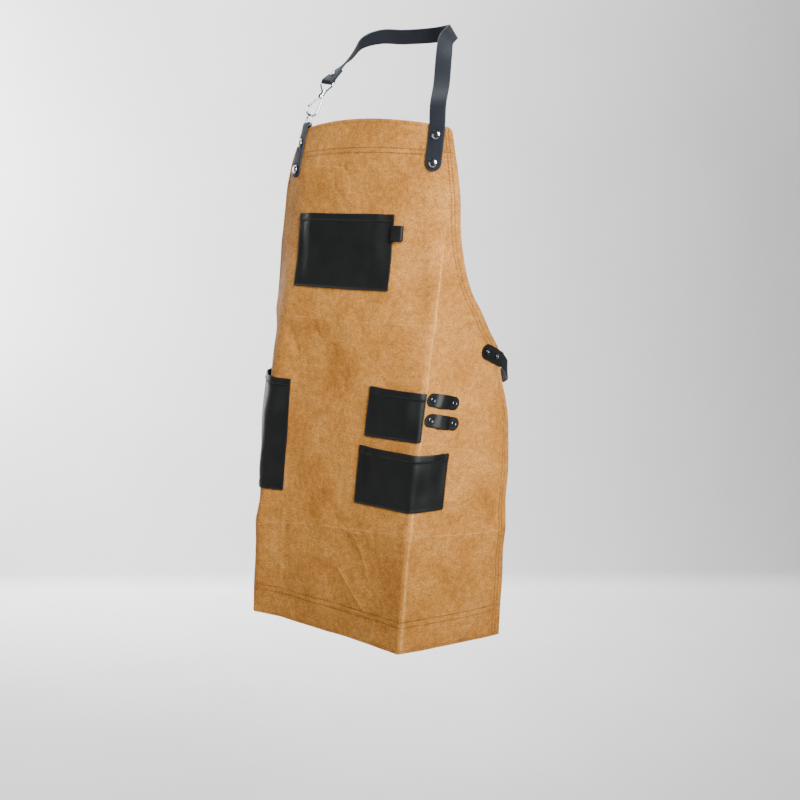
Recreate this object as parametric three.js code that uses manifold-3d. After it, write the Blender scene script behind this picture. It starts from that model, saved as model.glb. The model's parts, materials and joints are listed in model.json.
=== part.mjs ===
// Gardening apron in the shape it takes when it is worn: a waxed canvas body with leather pockets,
// a leather neck strap that clips to a ring, and leather waist straps that join behind the back.
// Millimetres. The origin is the inner face of the neck strap at the nape. +Z is up, -Y is the
// front, and +X is the wearer's left. Every piece on the canvas has its place on the flat cut:
// `across` runs from the centre line towards +X, and `down` runs from the middle of the bib's top.

import * as THREE from 'three';
import { mergeVertices } from 'three/addons/utils/BufferGeometryUtils.js';
import Module from 'manifold-3d';

const wasm = await Module();
wasm.setup();

// Gap between pieces that touch, and under straps that lie on the curved canvas.
const clear = 0.3;
const layClear = 0.6;

// Canvas body.
const apronLength = 800;
const apronWidth = 656;
const bibWidth = 320;
const bibCrown = 18;
const crownReach = 120;
const armholeDepth = 365;
const creaseSpacing = 312;
const canvasWall = 1.2;
const facingDepth = 50;
const hemDepth = 44;
const bibDrop = 140;
const bibReach = 191;

// Leather.
const pocketWall = 1.5;
const strapWidth = 25;
const strapWall = 2.8;
const strapSpacing = 263;
const strapEndDown = 79;
const strapLean = 4.4;
const strapRivets = [11.5, 52.5];
const tabEndDown = 87;
const tabRivets = [12, 53];
const strapHoleRadius = 1.6;
const strapHoleAlong = 137;

// Pockets and loops on the flat cut.
const chestPocketWidth = 186;
const chestPocketHeight = 114;
const chestPocketAcross = -20;
const chestPocketDown = 144;
const chestPocketBulge = 8;
const hipPocketAcross = 105;
const hipPocketDown = 405;
const hipPocketWidth = 100;
const hipPocketHeight = 75;
const hipPocketBulge = 8;
const lowPocketAcross = 126;
const lowPocketWidth = 158;
const lowPocketHeight = 88;
const lowPocketBulge = 9;
const pocketStep = 17;
const sidePocketAcross = -160.5;
const sidePocketDown = 407;
const sidePocketWidth = 115;
const sidePocketHeight = 183;
const sidePocketBulge = 9;
const pocketSeam = 5;
const pocketShoulder = 18;
const chestLoopReach = 19;
const chestLoopHeight = 22;
const chestLoopDown = 161;
const chestLoopGap = 4;
const toolLoopWidth = 20;
const toolLoopLength = 63;
const toolLoopSlope = 13;
const toolLoopArch = 8;
const toolLoopAcross = 188.5;
const toolLoopDown = 423.5;
const toolLoopPitch = 30;

// Waist straps.
const waistStrapWidth = 24;
const waistStrapAcross = 270;
const waistStrapDown = 355;
const waistStrapSlope = 21;
const waistStrapDrop = 48;
const waistBackReach = 15;
const waistFoldLength = 34;
const waistPastEdge = 5;
const waistRivets = [10.8, 43.6];

// Fittings.
const rivetCapRadius = 6.75;
const rivetCapHeight = 3;
const smallCapRadius = 4.4;
const smallCapHeight = 1.6;
const postRadius = 1.8;
const ringWire = 1.5;
const wireRoom = 0.5;
const wireBend = 1.8;
const ringHeight = 20;
const tabClimb = 9;
const ringTilt = 17;
const ringToward = 32;
const hookTilt = 27;
const hookToward = 28;
const hookTurn = 37;
const hookWire = 1.8;
const hookLength = 43.5;
const hookBowRadius = 9;
const hookBowAside = 5;
const hubRadius = 4.6;
const hubHeight = 4;
const studRadius = 2;
const studHeadRadius = 3.4;
const studHeadHeight = 1.6;
const collarRadius = 3.6;
const collarHeight = 4.4;
const cheekWidth = 5.2;
const cheekHeight = 7.6;
const cheekWall = 1.1;
const noseAngle = 176;
const gatePinRadius = 0.8;
const gatePivotAside = -2.6;
const gatePivotDrop = 7.6;
const gateWidth = 3;
const gateKnuckle = 2.3;
const eyeWire = 1.5;
const eyeHeight = 18;
const eyeTurn = -12;
const eyeFoldLength = 30;
const gateWire = 1.5;
const buckleWire = 2;
const buckleBarSpacing = 22;

// Drape of the canvas. down: share of apronLength. ahead: how far the centre line has come
// forward since the bib's top, as a share of apronLength. The rest are turns in degrees, for the
// wearer's left and right: curl from the centre line to the crease, fold at the crease, and wrap
// from the crease to the side edge. roll: how round the crease is, as a share of half creaseSpacing.
// kink: turn at the pressed line inside the right crease.
const DRAPE = [
  { down: 0, ahead: 0, curlLeft: 17, curlRight: 20, foldLeft: 0, foldRight: 24,
    wrapLeft: 18, wrapRight: 19, rollLeft: 0.26, rollRight: 0.26, kink: 0 },
  { down: 0.08, ahead: 0.0069, curlLeft: 18, curlRight: 3, foldLeft: 8, foldRight: 29,
    wrapLeft: 20, wrapRight: 20, rollLeft: 0.19, rollRight: 0.26, kink: 0 },
  { down: 0.1625, ahead: 0.0144, curlLeft: 19, curlRight: 7, foldLeft: 18, foldRight: 18,
    wrapLeft: 21, wrapRight: 20, rollLeft: 0.14, rollRight: 0.22, kink: 0 },
  { down: 0.325, ahead: 0.0388, curlLeft: 17, curlRight: 5, foldLeft: 41, foldRight: 31,
    wrapLeft: 24, wrapRight: 32, rollLeft: 0.05, rollRight: 0.16, kink: -1 },
  { down: 0.45, ahead: 0.0594, curlLeft: 12, curlRight: 1, foldLeft: 59, foldRight: 44,
    wrapLeft: 26, wrapRight: 44, rollLeft: 0.04, rollRight: 0.12, kink: -3 },
  { down: 0.6, ahead: 0.0775, curlLeft: 3, curlRight: -2, foldLeft: 58, foldRight: 52,
    wrapLeft: 21, wrapRight: 34, rollLeft: 0.03, rollRight: 0.09, kink: -8 },
  { down: 0.8, ahead: 0.1075, curlLeft: -3, curlRight: 0, foldLeft: 61, foldRight: 60,
    wrapLeft: 15, wrapRight: 22, rollLeft: 0.03, rollRight: 0.06, kink: -11 },
  { down: 1, ahead: 0.13, curlLeft: -6, curlRight: 4, foldLeft: 65, foldRight: 68,
    wrapLeft: 7, wrapRight: 14, rollLeft: 0.03, rollRight: 0.04, kink: -14 },
];
const kinkShare = 0.63;
const kinkWidth = 24;

// Side edge of the bib. down: share of armholeDepth. out: share of the way from the bib's half
// width to the apron's.
const ARMHOLE = [
  { down: 0, out: 0 },
  { down: 0.274, out: 0.071 },
  { down: 0.52, out: 0.143 },
  { down: 0.712, out: 0.315 },
  { down: 0.863, out: 0.625 },
  { down: 1, out: 1 },
];

// Pressed folds that cross the whole canvas. down: share of apronLength. rise and reach in mm.
const PRESSED = [
  { down: 0.382, rise: 2.4, reach: 34 },
  { down: 0.792, rise: 2.6, reach: 30 },
];

// Dents and swells. across: share of half apronWidth. down: share of apronLength. wide and tall:
// half sizes as the same shares. rise in mm, negative for a dent.
const DENTS = [
  { across: 0.71, down: 0.4, wide: 0.13, tall: 0.034, rise: -4.5 },
  { across: 0.86, down: 0.56, wide: 0.1, tall: 0.05, rise: 3 },
  { across: 0.28, down: 0.86, wide: 0.16, tall: 0.05, rise: -3.5 },
  { across: -0.2, down: 0.88, wide: 0.18, tall: 0.06, rise: 3 },
  { across: 0.36, down: 0.245, wide: 0.08, tall: 0.06, rise: -3 },
  { across: -0.27, down: 0.425, wide: 0.1, tall: 0.035, rise: -3.5 },
  { across: 0.06, down: 0.43, wide: 0.14, tall: 0.04, rise: 3 },
];

// Neck strap beyond the canvas. side: share of half strapSpacing. ahead: share of bibReach.
// below: share of bibDrop. turn and rise: where the strap's outer face looks, in degrees.
const NECK_LEFT = [
  { side: 1.01, ahead: 0.89, below: 0.885, turn: 20, rise: 18 },
  { side: 0.9, ahead: 0.733, below: 0.65, turn: 26, rise: 33 },
  { side: 0.786, ahead: 0.586, below: 0.343, turn: 42, rise: 34 },
  { side: 0.67, ahead: 0.44, below: 0.15, turn: 66, rise: 32 },
  { side: 0.62, ahead: 0.325, below: 0.071, turn: 88, rise: 31 },
  { side: 0.52, ahead: 0.183, below: 0.014, turn: 112, rise: 30 },
  { side: 0.344, ahead: 0.073, below: 0, turn: 142, rise: 28 },
];
const NECK_RIGHT = [
  { side: -0.344, ahead: 0.073, below: 0, turn: -142, rise: 28 },
  { side: -0.53, ahead: 0.209, below: 0, turn: -110, rise: 30 },
  { side: -0.64, ahead: 0.387, below: 0.086, turn: -78, rise: 32 },
  { side: -0.67, ahead: 0.497, below: 0.236, turn: -56, rise: 33 },
];
const napeTurn = 180;
const napeRise = 26;

// Waist strap beyond the canvas. side: share of the distance from the middle to where the strap
// leaves the canvas. back: share of the way to the back. drop: share of waistStrapDrop.
const WAIST = [
  { side: 0.985, back: 0.3, drop: 0.3 },
  { side: 0.9, back: 0.62, drop: 0.62 },
  { side: 0.68, back: 0.86, drop: 0.84 },
  { side: 0.38, back: 0.98, drop: 0.97 },
];

const canvas = { color: 0xb98d56, roughness: 0.85, metalness: 0 };
const blackLeather = { color: 0x23282a, roughness: 0.5, metalness: 0 };
const strapLeather = { color: 0x333a40, roughness: 0.55, metalness: 0 };
const chrome = { color: 0xc9ccd0, roughness: 0.18, metalness: 1 };
const gunmetal = { color: 0x34363a, roughness: 0.35, metalness: 1 };

const apron = new THREE.Group();
const halfCrease = creaseSpacing / 2;
const halfWidth = apronWidth / 2;
const bridge = strapWall + clear;

function add(name, geometry, finish) {
  geometry.computeVertexNormals();
  const mesh = new THREE.Mesh(geometry, new THREE.MeshStandardMaterial(finish));
  mesh.name = name;
  apron.add(mesh);
}

function smooth(t) {
  const x = Math.min(Math.max(t, 0), 1);
  return x * x * (3 - 2 * x);
}

// Smooth curve through a table's column, with each row's slope taken from its neighbours.
function through(table, column, at) {
  const last = table.length - 1;
  let i = 0;
  while (i < last - 1 && at > table[i + 1].down) i += 1;
  const slope = (k) => {
    const before = table[Math.max(k - 1, 0)];
    const after = table[Math.min(k + 1, last)];
    return (after[column] - before[column]) / (after.down - before.down);
  };
  const span = table[i + 1].down - table[i].down;
  const s = (at - table[i].down) / span;
  const from = (2 * s ** 3 - 3 * s ** 2 + 1) * table[i][column];
  const leaving = (s ** 3 - 2 * s ** 2 + s) * span * slope(i);
  const to = (3 * s ** 2 - 2 * s ** 3) * table[i + 1][column];
  const arriving = (s ** 3 - s ** 2) * span * slope(i + 1);
  return from + leaving + to + arriving;
}

function halfWidthAt(down) {
  const share = Math.min(Math.max(down, 0) / armholeDepth, 1);
  const out = Math.min(through(ARMHOLE, 'out', share), 1);
  return (bibWidth + (apronWidth - bibWidth) * out) / 2;
}

// Values from start to end, both included, with equal steps no longer than `step` between marks.
function spaced(marks, step) {
  const values = [marks[0]];
  for (let i = 1; i < marks.length; i += 1) {
    const count = Math.max(1, Math.round((marks[i] - marks[i - 1]) / step));
    for (let k = 1; k <= count; k += 1) {
      values.push(marks[i - 1] + ((marks[i] - marks[i - 1]) * k) / count);
    }
  }
  return values;
}

// The centre line, walked in steps of 1 mm: its place ahead and its height at each.
const centreLine = [{ y: -bibReach, z: -bibDrop }];
for (let down = 1; down <= apronLength + bibCrown; down += 1) {
  const y = -bibReach - through(DRAPE, 'ahead', down / apronLength) * apronLength;
  const before = centreLine[down - 1];
  const fall = Math.sqrt(Math.max(1 - (y - before.y) ** 2, 0));
  centreLine.push({ y, z: before.z - fall });
}

function centreAt(down) {
  const d = Math.min(Math.max(down, 0), centreLine.length - 1.001);
  const i = Math.floor(d);
  const t = d - i;
  const a = centreLine[i];
  const b = centreLine[i + 1];
  return { y: a.y + (b.y - a.y) * t, z: a.z + (b.z - a.z) * t };
}

// Walks across the cloth at one height and adds up its heading, step by step.
const walks = new Map();
function walkAcross(down, left) {
  const key = `${left}${down.toFixed(4)}`;
  if (walks.has(key)) return walks.get(key);
  const share = Math.min(Math.max(down, 0) / apronLength, 1.02);
  const hand = left ? 'Left' : 'Right';
  const curl = through(DRAPE, `curl${hand}`, share);
  const fold = through(DRAPE, `fold${hand}`, share);
  const wrap = through(DRAPE, `wrap${hand}`, share);
  const roll = through(DRAPE, `roll${hand}`, share) * halfCrease;
  const kink = left ? 0 : through(DRAPE, 'kink', share);
  const kinkAt = kinkShare * halfCrease;
  const points = [{ x: 0, y: 0 }];
  for (let g = 0.5; g < halfWidth + 18; g += 1) {
    const curled = curl * Math.min(g / halfCrease, 1);
    const folded = fold * smooth((g - halfCrease + 2 * roll) / (2 * roll));
    const wrapped = wrap * Math.max((g - halfCrease) / (halfWidth - halfCrease), 0);
    const kinked = kink * smooth((g - kinkAt) / kinkWidth + 0.5);
    const heading = THREE.MathUtils.degToRad(curled + folded + wrapped + kinked);
    const last = points[points.length - 1];
    points.push({ x: last.x + Math.cos(heading), y: last.y + Math.sin(heading) });
  }
  walks.set(key, points);
  return points;
}

function plainCloth(across, down) {
  const left = across >= 0;
  const points = walkAcross(down, left);
  const g = Math.min(Math.abs(across), points.length - 1.001);
  const i = Math.floor(g);
  const t = g - i;
  const x = points[i].x + (points[i + 1].x - points[i].x) * t;
  const y = points[i].y + (points[i + 1].y - points[i].y) * t;
  const centre = centreAt(down);
  return new THREE.Vector3(left ? x : -x, centre.y + y, centre.z);
}

function clothNormal(across, down) {
  const step = 1.5;
  const alongX = plainCloth(across + step, down).sub(plainCloth(across - step, down));
  const low = Math.min(down + step, apronLength);
  const alongDown = plainCloth(across, low).sub(plainCloth(across, Math.max(low - 2 * step, 0)));
  return alongDown.cross(alongX).normalize();
}

function relief(across, down) {
  let rise = 0;
  for (const fold of PRESSED) {
    const away = Math.abs(down - fold.down * apronLength) / fold.reach;
    rise += fold.rise * Math.max(1 - away, 0);
  }
  for (const dent of DENTS) {
    const x = (across - dent.across * halfWidth) / (dent.wide * halfWidth);
    const z = (down - dent.down * apronLength) / (dent.tall * apronLength);
    rise += dent.rise * Math.exp(-x * x - z * z);
  }
  return rise;
}

// Point `off` mm outside the canvas's outer face.
function onCloth(across, down, off = 0) {
  const out = clothNormal(across, down).multiplyScalar(relief(across, down) + off);
  return plainCloth(across, down).add(out);
}

// Closed wall between two grids of points that have the same rows and columns.
function wall(outer, inner) {
  const rows = outer.length;
  const columns = outer[0].length;
  const positions = [];
  for (const grid of [outer, inner]) {
    for (const row of grid) {
      for (const p of row) positions.push(p.x, p.y, p.z);
    }
  }
  const at = (side, i, j) => (side * rows + i) * columns + j;
  const index = [];
  const quad = (a, b, c, d) => index.push(a, b, c, a, c, d);
  for (let i = 0; i < rows - 1; i += 1) {
    for (let j = 0; j < columns - 1; j += 1) {
      quad(at(0, i, j), at(0, i + 1, j), at(0, i + 1, j + 1), at(0, i, j + 1));
      quad(at(1, i, j), at(1, i, j + 1), at(1, i + 1, j + 1), at(1, i + 1, j));
    }
    quad(at(0, i + 1, 0), at(0, i, 0), at(1, i, 0), at(1, i + 1, 0));
    const j = columns - 1;
    quad(at(0, i, j), at(0, i + 1, j), at(1, i + 1, j), at(1, i, j));
  }
  for (let j = 0; j < columns - 1; j += 1) {
    quad(at(0, 0, j), at(0, 0, j + 1), at(1, 0, j + 1), at(1, 0, j));
    const i = rows - 1;
    quad(at(0, i, j + 1), at(0, i, j), at(1, i, j), at(1, i, j + 1));
  }
  const geometry = new THREE.BufferGeometry();
  geometry.setAttribute('position', new THREE.Float32BufferAttribute(positions, 3));
  geometry.setIndex(index);
  if (signedVolume(geometry) < 0) {
    for (let k = 0; k < index.length; k += 3) [index[k], index[k + 1]] = [index[k + 1], index[k]];
    geometry.setIndex(index);
  }
  return geometry;
}

function signedVolume(geometry) {
  const position = geometry.getAttribute('position');
  const index = geometry.getIndex();
  const [a, b, c] = [new THREE.Vector3(), new THREE.Vector3(), new THREE.Vector3()];
  let sum = 0;
  for (let k = 0; k < index.count; k += 3) {
    a.fromBufferAttribute(position, index.getX(k));
    b.fromBufferAttribute(position, index.getX(k + 1));
    c.fromBufferAttribute(position, index.getX(k + 2));
    sum += a.dot(b.cross(c)) / 6;
  }
  return sum;
}

function toSolid(geometry) {
  const bare = geometry.clone();
  bare.deleteAttribute('normal');
  bare.deleteAttribute('uv');
  const merged = mergeVertices(bare, 1e-4);
  return new wasm.Manifold(new wasm.Mesh({
    numProp: 3,
    vertProperties: new Float32Array(merged.getAttribute('position').array),
    triVerts: new Uint32Array(merged.getIndex().array),
  }));
}

function toGeometry(solid) {
  const mesh = solid.getMesh();
  const geometry = new THREE.BufferGeometry();
  geometry.setAttribute('position', new THREE.BufferAttribute(mesh.vertProperties, 3));
  geometry.setIndex(new THREE.BufferAttribute(mesh.triVerts, 1));
  return geometry;
}

function cut(geometry, cutters) {
  let solid = toSolid(geometry);
  for (const cutter of cutters) solid = solid.subtract(toSolid(cutter));
  return toGeometry(solid);
}

function join(geometries) {
  let solid = toSolid(geometries[0]);
  for (const geometry of geometries.slice(1)) solid = solid.add(toSolid(geometry));
  return toGeometry(solid);
}

// Column places shared by the canvas and what lies on it, so that their facets line up.
function columnsFor(halfSpan) {
  const roll = [0, 4, 8, 13, 24, 40].map((gap) => halfCrease - gap).reverse();
  const kinkAt = kinkShare * halfCrease;
  const kinks = [1, 0, -1].map((side) => -kinkAt - (side * kinkWidth) / 2);
  const centre = spaced([-roll[0], ...kinks, roll[0]], 46);
  const flank = [0.14, 0.3, 0.48, 0.66, 0.83, 1];
  const sides = flank.map((share) => halfCrease + (halfSpan - halfCrease) * share);
  const right = [...roll.slice(1), ...sides];
  return [...right.map((x) => -x).reverse(), ...centre, ...right];
}

function columnsBetween(from, to, edge) {
  const near = 1.2;
  const shared = columnsFor(halfWidth).filter((x) => x > from + near && x < to - near);
  const seams = [from + edge, to - edge].filter((x) => shared.every((y) => Math.abs(x - y) > near));
  return [from, ...shared, ...seams, to].sort((a, b) => a - b);
}

// Row places down the canvas, which the pockets share too.
const pressedRows = PRESSED.flatMap(({ down }) => [-12, 0, 12].map((gap) => down * apronLength + gap));
const hemTop = apronLength - hemDepth;
const rowStep = 32;
const waistRowStep = 14;
const waistRowsAbove = 12;
const waistRowsBelow = 60;
const waistRows = spaced([waistStrapDown - waistRowsAbove, waistStrapDown + waistRowsBelow], waistRowStep);
const bodyMarks = [0, facingDepth, facingDepth + 2, ...pressedRows, ...waistRows, hemTop - 2, hemTop];
bodyMarks.sort((a, b) => a - b);
const bodyRows = spaced([...bodyMarks, apronLength], rowStep);
const rowGap = 3;

// Fittings that pin leather to the canvas, and the holes that they pass through.

function turned(profile, sides, base, axis) {
  const points = profile.map(([r, y]) => new THREE.Vector2(r, y));
  const geometry = new THREE.LatheGeometry(points, sides);
  const upright = new THREE.Vector3(0, 1, 0);
  geometry.applyQuaternion(new THREE.Quaternion().setFromUnitVectors(upright, axis));
  geometry.translate(base.x, base.y, base.z);
  return geometry;
}

function drill(base, axis, radius, reach) {
  return turned([[0, -reach], [radius, -reach], [radius, reach], [0, reach]], 8, base, axis);
}

// A domed cap in front, a post, and a flat washer behind, in one solid. front and back: how far
// the stack of walls reaches outside and inside of the base point.
function rivet(base, axis, front, back, cap) {
  const top = front + layClear;
  const bottom = -back - layClear;
  const washer = cap.radius * 0.85;
  const profile = [
    [0, bottom - 1],
    [washer, bottom - 1],
    [washer, bottom],
    [postRadius, bottom],
    [postRadius, top],
    [cap.radius, top],
    [cap.radius * 0.92, top + cap.height * 0.5],
    [cap.radius * 0.5, top + cap.height * 0.9],
    [0, top + cap.height],
  ];
  return turned(profile, 8, base, axis);
}

const largeCap = { radius: rivetCapRadius, height: rivetCapHeight };
const smallCap = { radius: smallCapRadius, height: smallCapHeight };
const canvasHoles = [];

// A rivet through the canvas at a place on the flat cut. It returns the cutter for its hole.
function rivetOnCloth(name, across, down, stack) {
  const base = onCloth(across, down);
  const axis = clothNormal(across, down);
  add(name, rivet(base, axis, stack.front, stack.back, stack.cap), stack.finish);
  const cutter = drill(base, axis, postRadius + clear, 20);
  canvasHoles.push(cutter);
  return cutter;
}

// Strips of leather. A strip is a list of rows, and each row holds points across the strip on
// its outer and its inner face.

const acrossStrip = [-1, 0, 1];

// Rows over the canvas along a line on the flat cut. Each stop gives its distance along the line,
// its half width, and how far the strip's middle is off the canvas.
function clothRows(start, slope, stops, thickness, behind = false) {
  const angle = THREE.MathUtils.degToRad(slope);
  const along = [Math.cos(angle), Math.sin(angle)];
  const side = behind ? -1 : 1;
  return stops.map(({ at, half, off }) => {
    const row = { outer: [], inner: [] };
    for (const share of acrossStrip) {
      const across = start.across + along[0] * at - along[1] * half * share;
      const down = start.down + along[1] * at + along[0] * half * share;
      row.outer.push(onCloth(across, down, off + (side * thickness) / 2));
      row.inner.push(onCloth(across, down, off - (side * thickness) / 2));
    }
    return row;
  });
}

// Half widths of a strip's round end, from the tip inwards.
function roundEnd(radius) {
  return [12, 35, 60, 90].map((degrees) => {
    const angle = THREE.MathUtils.degToRad(degrees);
    return { at: radius * (1 - Math.cos(angle)), half: radius * Math.sin(angle) };
  });
}

function flatRow(centre, width, normal, half, thickness) {
  const row = { outer: [], inner: [] };
  for (const share of acrossStrip) {
    const middle = centre.clone().addScaledVector(width, half * share);
    row.outer.push(middle.clone().addScaledVector(normal, thickness / 2));
    row.inner.push(middle.clone().addScaledVector(normal, -thickness / 2));
  }
  return row;
}

// Rows half way round a bar, from the strip's outer side to its inner side.
function foldRows(bar, width, normal, tip, wire, half, thickness) {
  const radius = wire + clear + thickness / 2;
  return [0, 36, 72, 108, 144, 180].map((degrees) => {
    const angle = THREE.MathUtils.degToRad(degrees);
    const out = normal.clone().multiplyScalar(Math.cos(angle)).addScaledVector(tip, Math.sin(angle));
    return flatRow(bar.clone().addScaledVector(out, radius), width, out, half, thickness);
  });
}

function strip(rows) {
  return wall(rows.map((row) => row.outer), rows.map((row) => row.inner));
}

function facing(turn, rise) {
  const t = THREE.MathUtils.degToRad(turn);
  const r = THREE.MathUtils.degToRad(rise);
  return new THREE.Vector3(Math.sin(t) * Math.cos(r), -Math.cos(t) * Math.cos(r), Math.sin(r));
}

// Direction that leans back from upright by `tilt`, `toward` degrees from +Y to +X.
function leaning(tilt, toward) {
  const a = THREE.MathUtils.degToRad(tilt);
  const b = THREE.MathUtils.degToRad(toward);
  return new THREE.Vector3(Math.sin(a) * Math.sin(b), Math.sin(a) * Math.cos(b), Math.cos(a));
}

// Spacing of a strap's rows over the end that is folded back.
const endStep = 7;

// Rows along a smooth curve through knots of the form { p, n }, without the first and last.
function routeRows(knots, step, endLength, half, thickness) {
  const curve = new THREE.CatmullRomCurve3(knots.map((knot) => knot.p), false, 'centripetal');
  const total = curve.getLength();
  const end = spaced([total - endLength, total], endStep);
  const stops = [...spaced([0, total - endLength], step).slice(1), ...end.slice(1, -1)];
  const rows = [];
  for (const stop of stops) {
    const t = curve.getUtoTmapping(stop / total);
    const place = t * (knots.length - 1);
    const k = Math.min(Math.floor(place), knots.length - 2);
    const tangent = curve.getTangent(t);
    const normal = knots[k].n.clone().lerp(knots[k + 1].n, place - k);
    normal.addScaledVector(tangent, -normal.dot(tangent)).normalize();
    const width = tangent.clone().cross(normal);
    rows.push(flatRow(curve.getPoint(t), width, normal, half, thickness));
  }
  return rows;
}

function clothKnot(across, down, off) {
  return { p: onCloth(across, down, off), n: clothNormal(across, down) };
}

// Pockets. The seam lies on the canvas on three sides, and the leather stands off towards the
// open top.
function pocket(name, { across, down, width, height, bulge }) {
  const left = across - width / 2;
  const right = across + width / 2;
  const bottom = down + height;
  const columns = columnsBetween(left, right, pocketSeam);
  const shared = bodyRows.filter((row) => row > down + rowGap && row < bottom - pocketSeam - rowGap);
  const rows = [down, ...shared, bottom - pocketSeam, bottom];
  const off = (x, z) => {
    const fromSide = Math.min(x - left, right - x) - pocketSeam;
    const up = Math.max(bottom - pocketSeam - z, 0) / (height - pocketSeam);
    const swell = Math.sin((up * Math.PI) / 2) ** 0.8;
    return clear + bulge * smooth(fromSide / pocketShoulder) * swell;
  };
  const outer = rows.map((z) => columns.map((x) => onCloth(x, z, off(x, z) + pocketWall)));
  const inner = rows.map((z) => columns.map((x) => onCloth(x, z, off(x, z))));
  add(name, wall(outer, inner), blackLeather);
}

function buildPockets() {
  pocket('chest_pocket', {
    across: chestPocketAcross,
    down: chestPocketDown,
    width: chestPocketWidth,
    height: chestPocketHeight,
    bulge: chestPocketBulge,
  });
  pocket('hip_pocket_upper', {
    across: hipPocketAcross,
    down: hipPocketDown,
    width: hipPocketWidth,
    height: hipPocketHeight,
    bulge: hipPocketBulge,
  });
  pocket('hip_pocket_lower', {
    across: lowPocketAcross,
    down: hipPocketDown + hipPocketHeight + pocketStep,
    width: lowPocketWidth,
    height: lowPocketHeight,
    bulge: lowPocketBulge,
  });
  pocket('side_pocket', {
    across: sidePocketAcross,
    down: sidePocketDown,
    width: sidePocketWidth,
    height: sidePocketHeight,
    bulge: sidePocketBulge,
  });
}

// Small leather loop sewn beside the chest pocket: two layers with a round fold between them.
function buildChestLoop() {
  const start = chestPocketAcross + chestPocketWidth / 2 + clear;
  const radius = (chestLoopGap + pocketWall) / 2;
  const middle = clear + pocketWall / 2 + radius;
  const bend = chestLoopReach - radius - pocketWall / 2;
  const path = [{ x: 0, off: clear + pocketWall / 2, nx: 0, no: -1 }];
  path.push({ x: bend, off: clear + pocketWall / 2, nx: 0, no: -1 });
  for (const degrees of [-60, -30, 0, 30, 60]) {
    const a = THREE.MathUtils.degToRad(degrees);
    const [c, s] = [Math.cos(a), Math.sin(a)];
    path.push({ x: bend + radius * c, off: middle + radius * s, nx: c, no: s });
  }
  path.push({ x: bend, off: middle + radius, nx: 0, no: 1 });
  path.push({ x: 0, off: middle + radius, nx: 0, no: 1 });
  const rows = path.map(({ x, off, nx, no }) => {
    const row = { outer: [], inner: [] };
    for (const share of [0, 0.5, 1]) {
      const down = chestLoopDown + chestLoopHeight * share;
      const step = pocketWall / 2;
      row.outer.push(onCloth(start + x + nx * step, down, off + no * step));
      row.inner.push(onCloth(start + x - nx * step, down, off - no * step));
    }
    return row;
  });
  add('chest_loop', strip(rows), blackLeather);
}

// Two tool loops: round-ended leather strips, riveted at both ends and arched between.
function buildToolLoops() {
  const radius = toolLoopWidth / 2;
  const flat = radius + smallCapRadius + 1;
  const lift = (at) => {
    const t = (at - flat) / (toolLoopLength - 2 * flat);
    const inside = t > 0 && t < 1;
    return inside ? (toolLoopArch * (1 - Math.cos(2 * Math.PI * t))) / 2 : 0;
  };
  const slope = THREE.MathUtils.degToRad(toolLoopSlope);
  ['tool_loop_upper', 'tool_loop_lower'].forEach((name, k) => {
    const start = {
      across: toolLoopAcross - (toolLoopLength / 2) * Math.cos(slope),
      down: toolLoopDown + k * toolLoopPitch - (toolLoopLength / 2) * Math.sin(slope),
    };
    const ends = roundEnd(radius);
    const middle = spaced([flat, toolLoopLength - flat], 5).map((at) => ({ at, half: radius }));
    const far = ends.map(({ at, half }) => ({ at: toolLoopLength - at, half })).reverse();
    const stops = [...ends, ...middle, ...far].map((stop) => (
      { ...stop, off: layClear + pocketWall / 2 + lift(stop.at) }
    ));
    const holes = [radius, toolLoopLength - radius].map((at, end) => {
      const across = start.across + at * Math.cos(slope);
      const down = start.down + at * Math.sin(slope);
      return rivetOnCloth(`${name}_rivet_${end + 1}`, across, down, {
        front: layClear + pocketWall, back: canvasWall, cap: smallCap, finish: gunmetal,
      });
    });
    add(name, cut(strip(clothRows(start, toolLoopSlope, stops, pocketWall)), holes), blackLeather);
  });
}

// Neck fittings, from the leather tab up: ring, hook with its gate, and eye.
const strapSide = strapSpacing / 2;
const tabTop = bibCrown * (strapSide / (bibWidth / 2)) ** 2;
const tabEdge = clothKnot(-strapSide, tabTop, 0);
const ringUp = leaning(ringTilt, ringToward);
const ringBar = tabEdge.p.clone().addScaledVector(ringUp, tabClimb).addScaledVector(tabEdge.n, -1.2);
const ringAcross = new THREE.Vector3(-tabEdge.n.y, tabEdge.n.x, 0).normalize();
ringAcross.addScaledVector(ringUp, -ringAcross.dot(ringUp)).normalize();
const ringOut = ringUp.clone().cross(ringAcross).negate();
const ringHalf = strapWidth / 2 + clear + ringWire + wireRoom;
const ringTop = ringBar.clone().addScaledVector(ringUp, ringHeight);

const hookUp = leaning(hookTilt, hookToward);
const hookAngle = THREE.MathUtils.degToRad(hookTurn);
const hookAcross = new THREE.Vector3(Math.cos(hookAngle), Math.sin(hookAngle), 0);
hookAcross.addScaledVector(hookUp, -hookAcross.dot(hookUp)).normalize();
const hookOut = hookUp.clone().cross(hookAcross).negate();
const seatDepth = hookLength - hookWire - ringWire - layClear;
const hub = ringTop.clone().addScaledVector(hookAcross, hookBowAside).addScaledVector(hookUp, seatDepth);
const eyeBar = hub.clone().addScaledVector(hookUp, eyeHeight);
const eyeFace = facing(eyeTurn, 0);
eyeFace.addScaledVector(hookUp, -eyeFace.dot(hookUp)).normalize();
const eyeAcross = hookUp.clone().cross(eyeFace);

// Moves a shape drawn in x and y into the plane spanned by two directions at a place.
function placed(geometry, origin, across, up) {
  const out = across.clone().cross(up);
  const matrix = new THREE.Matrix4().makeBasis(across, up, out).setPosition(origin);
  geometry.applyMatrix4(matrix);
  return geometry;
}

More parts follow.
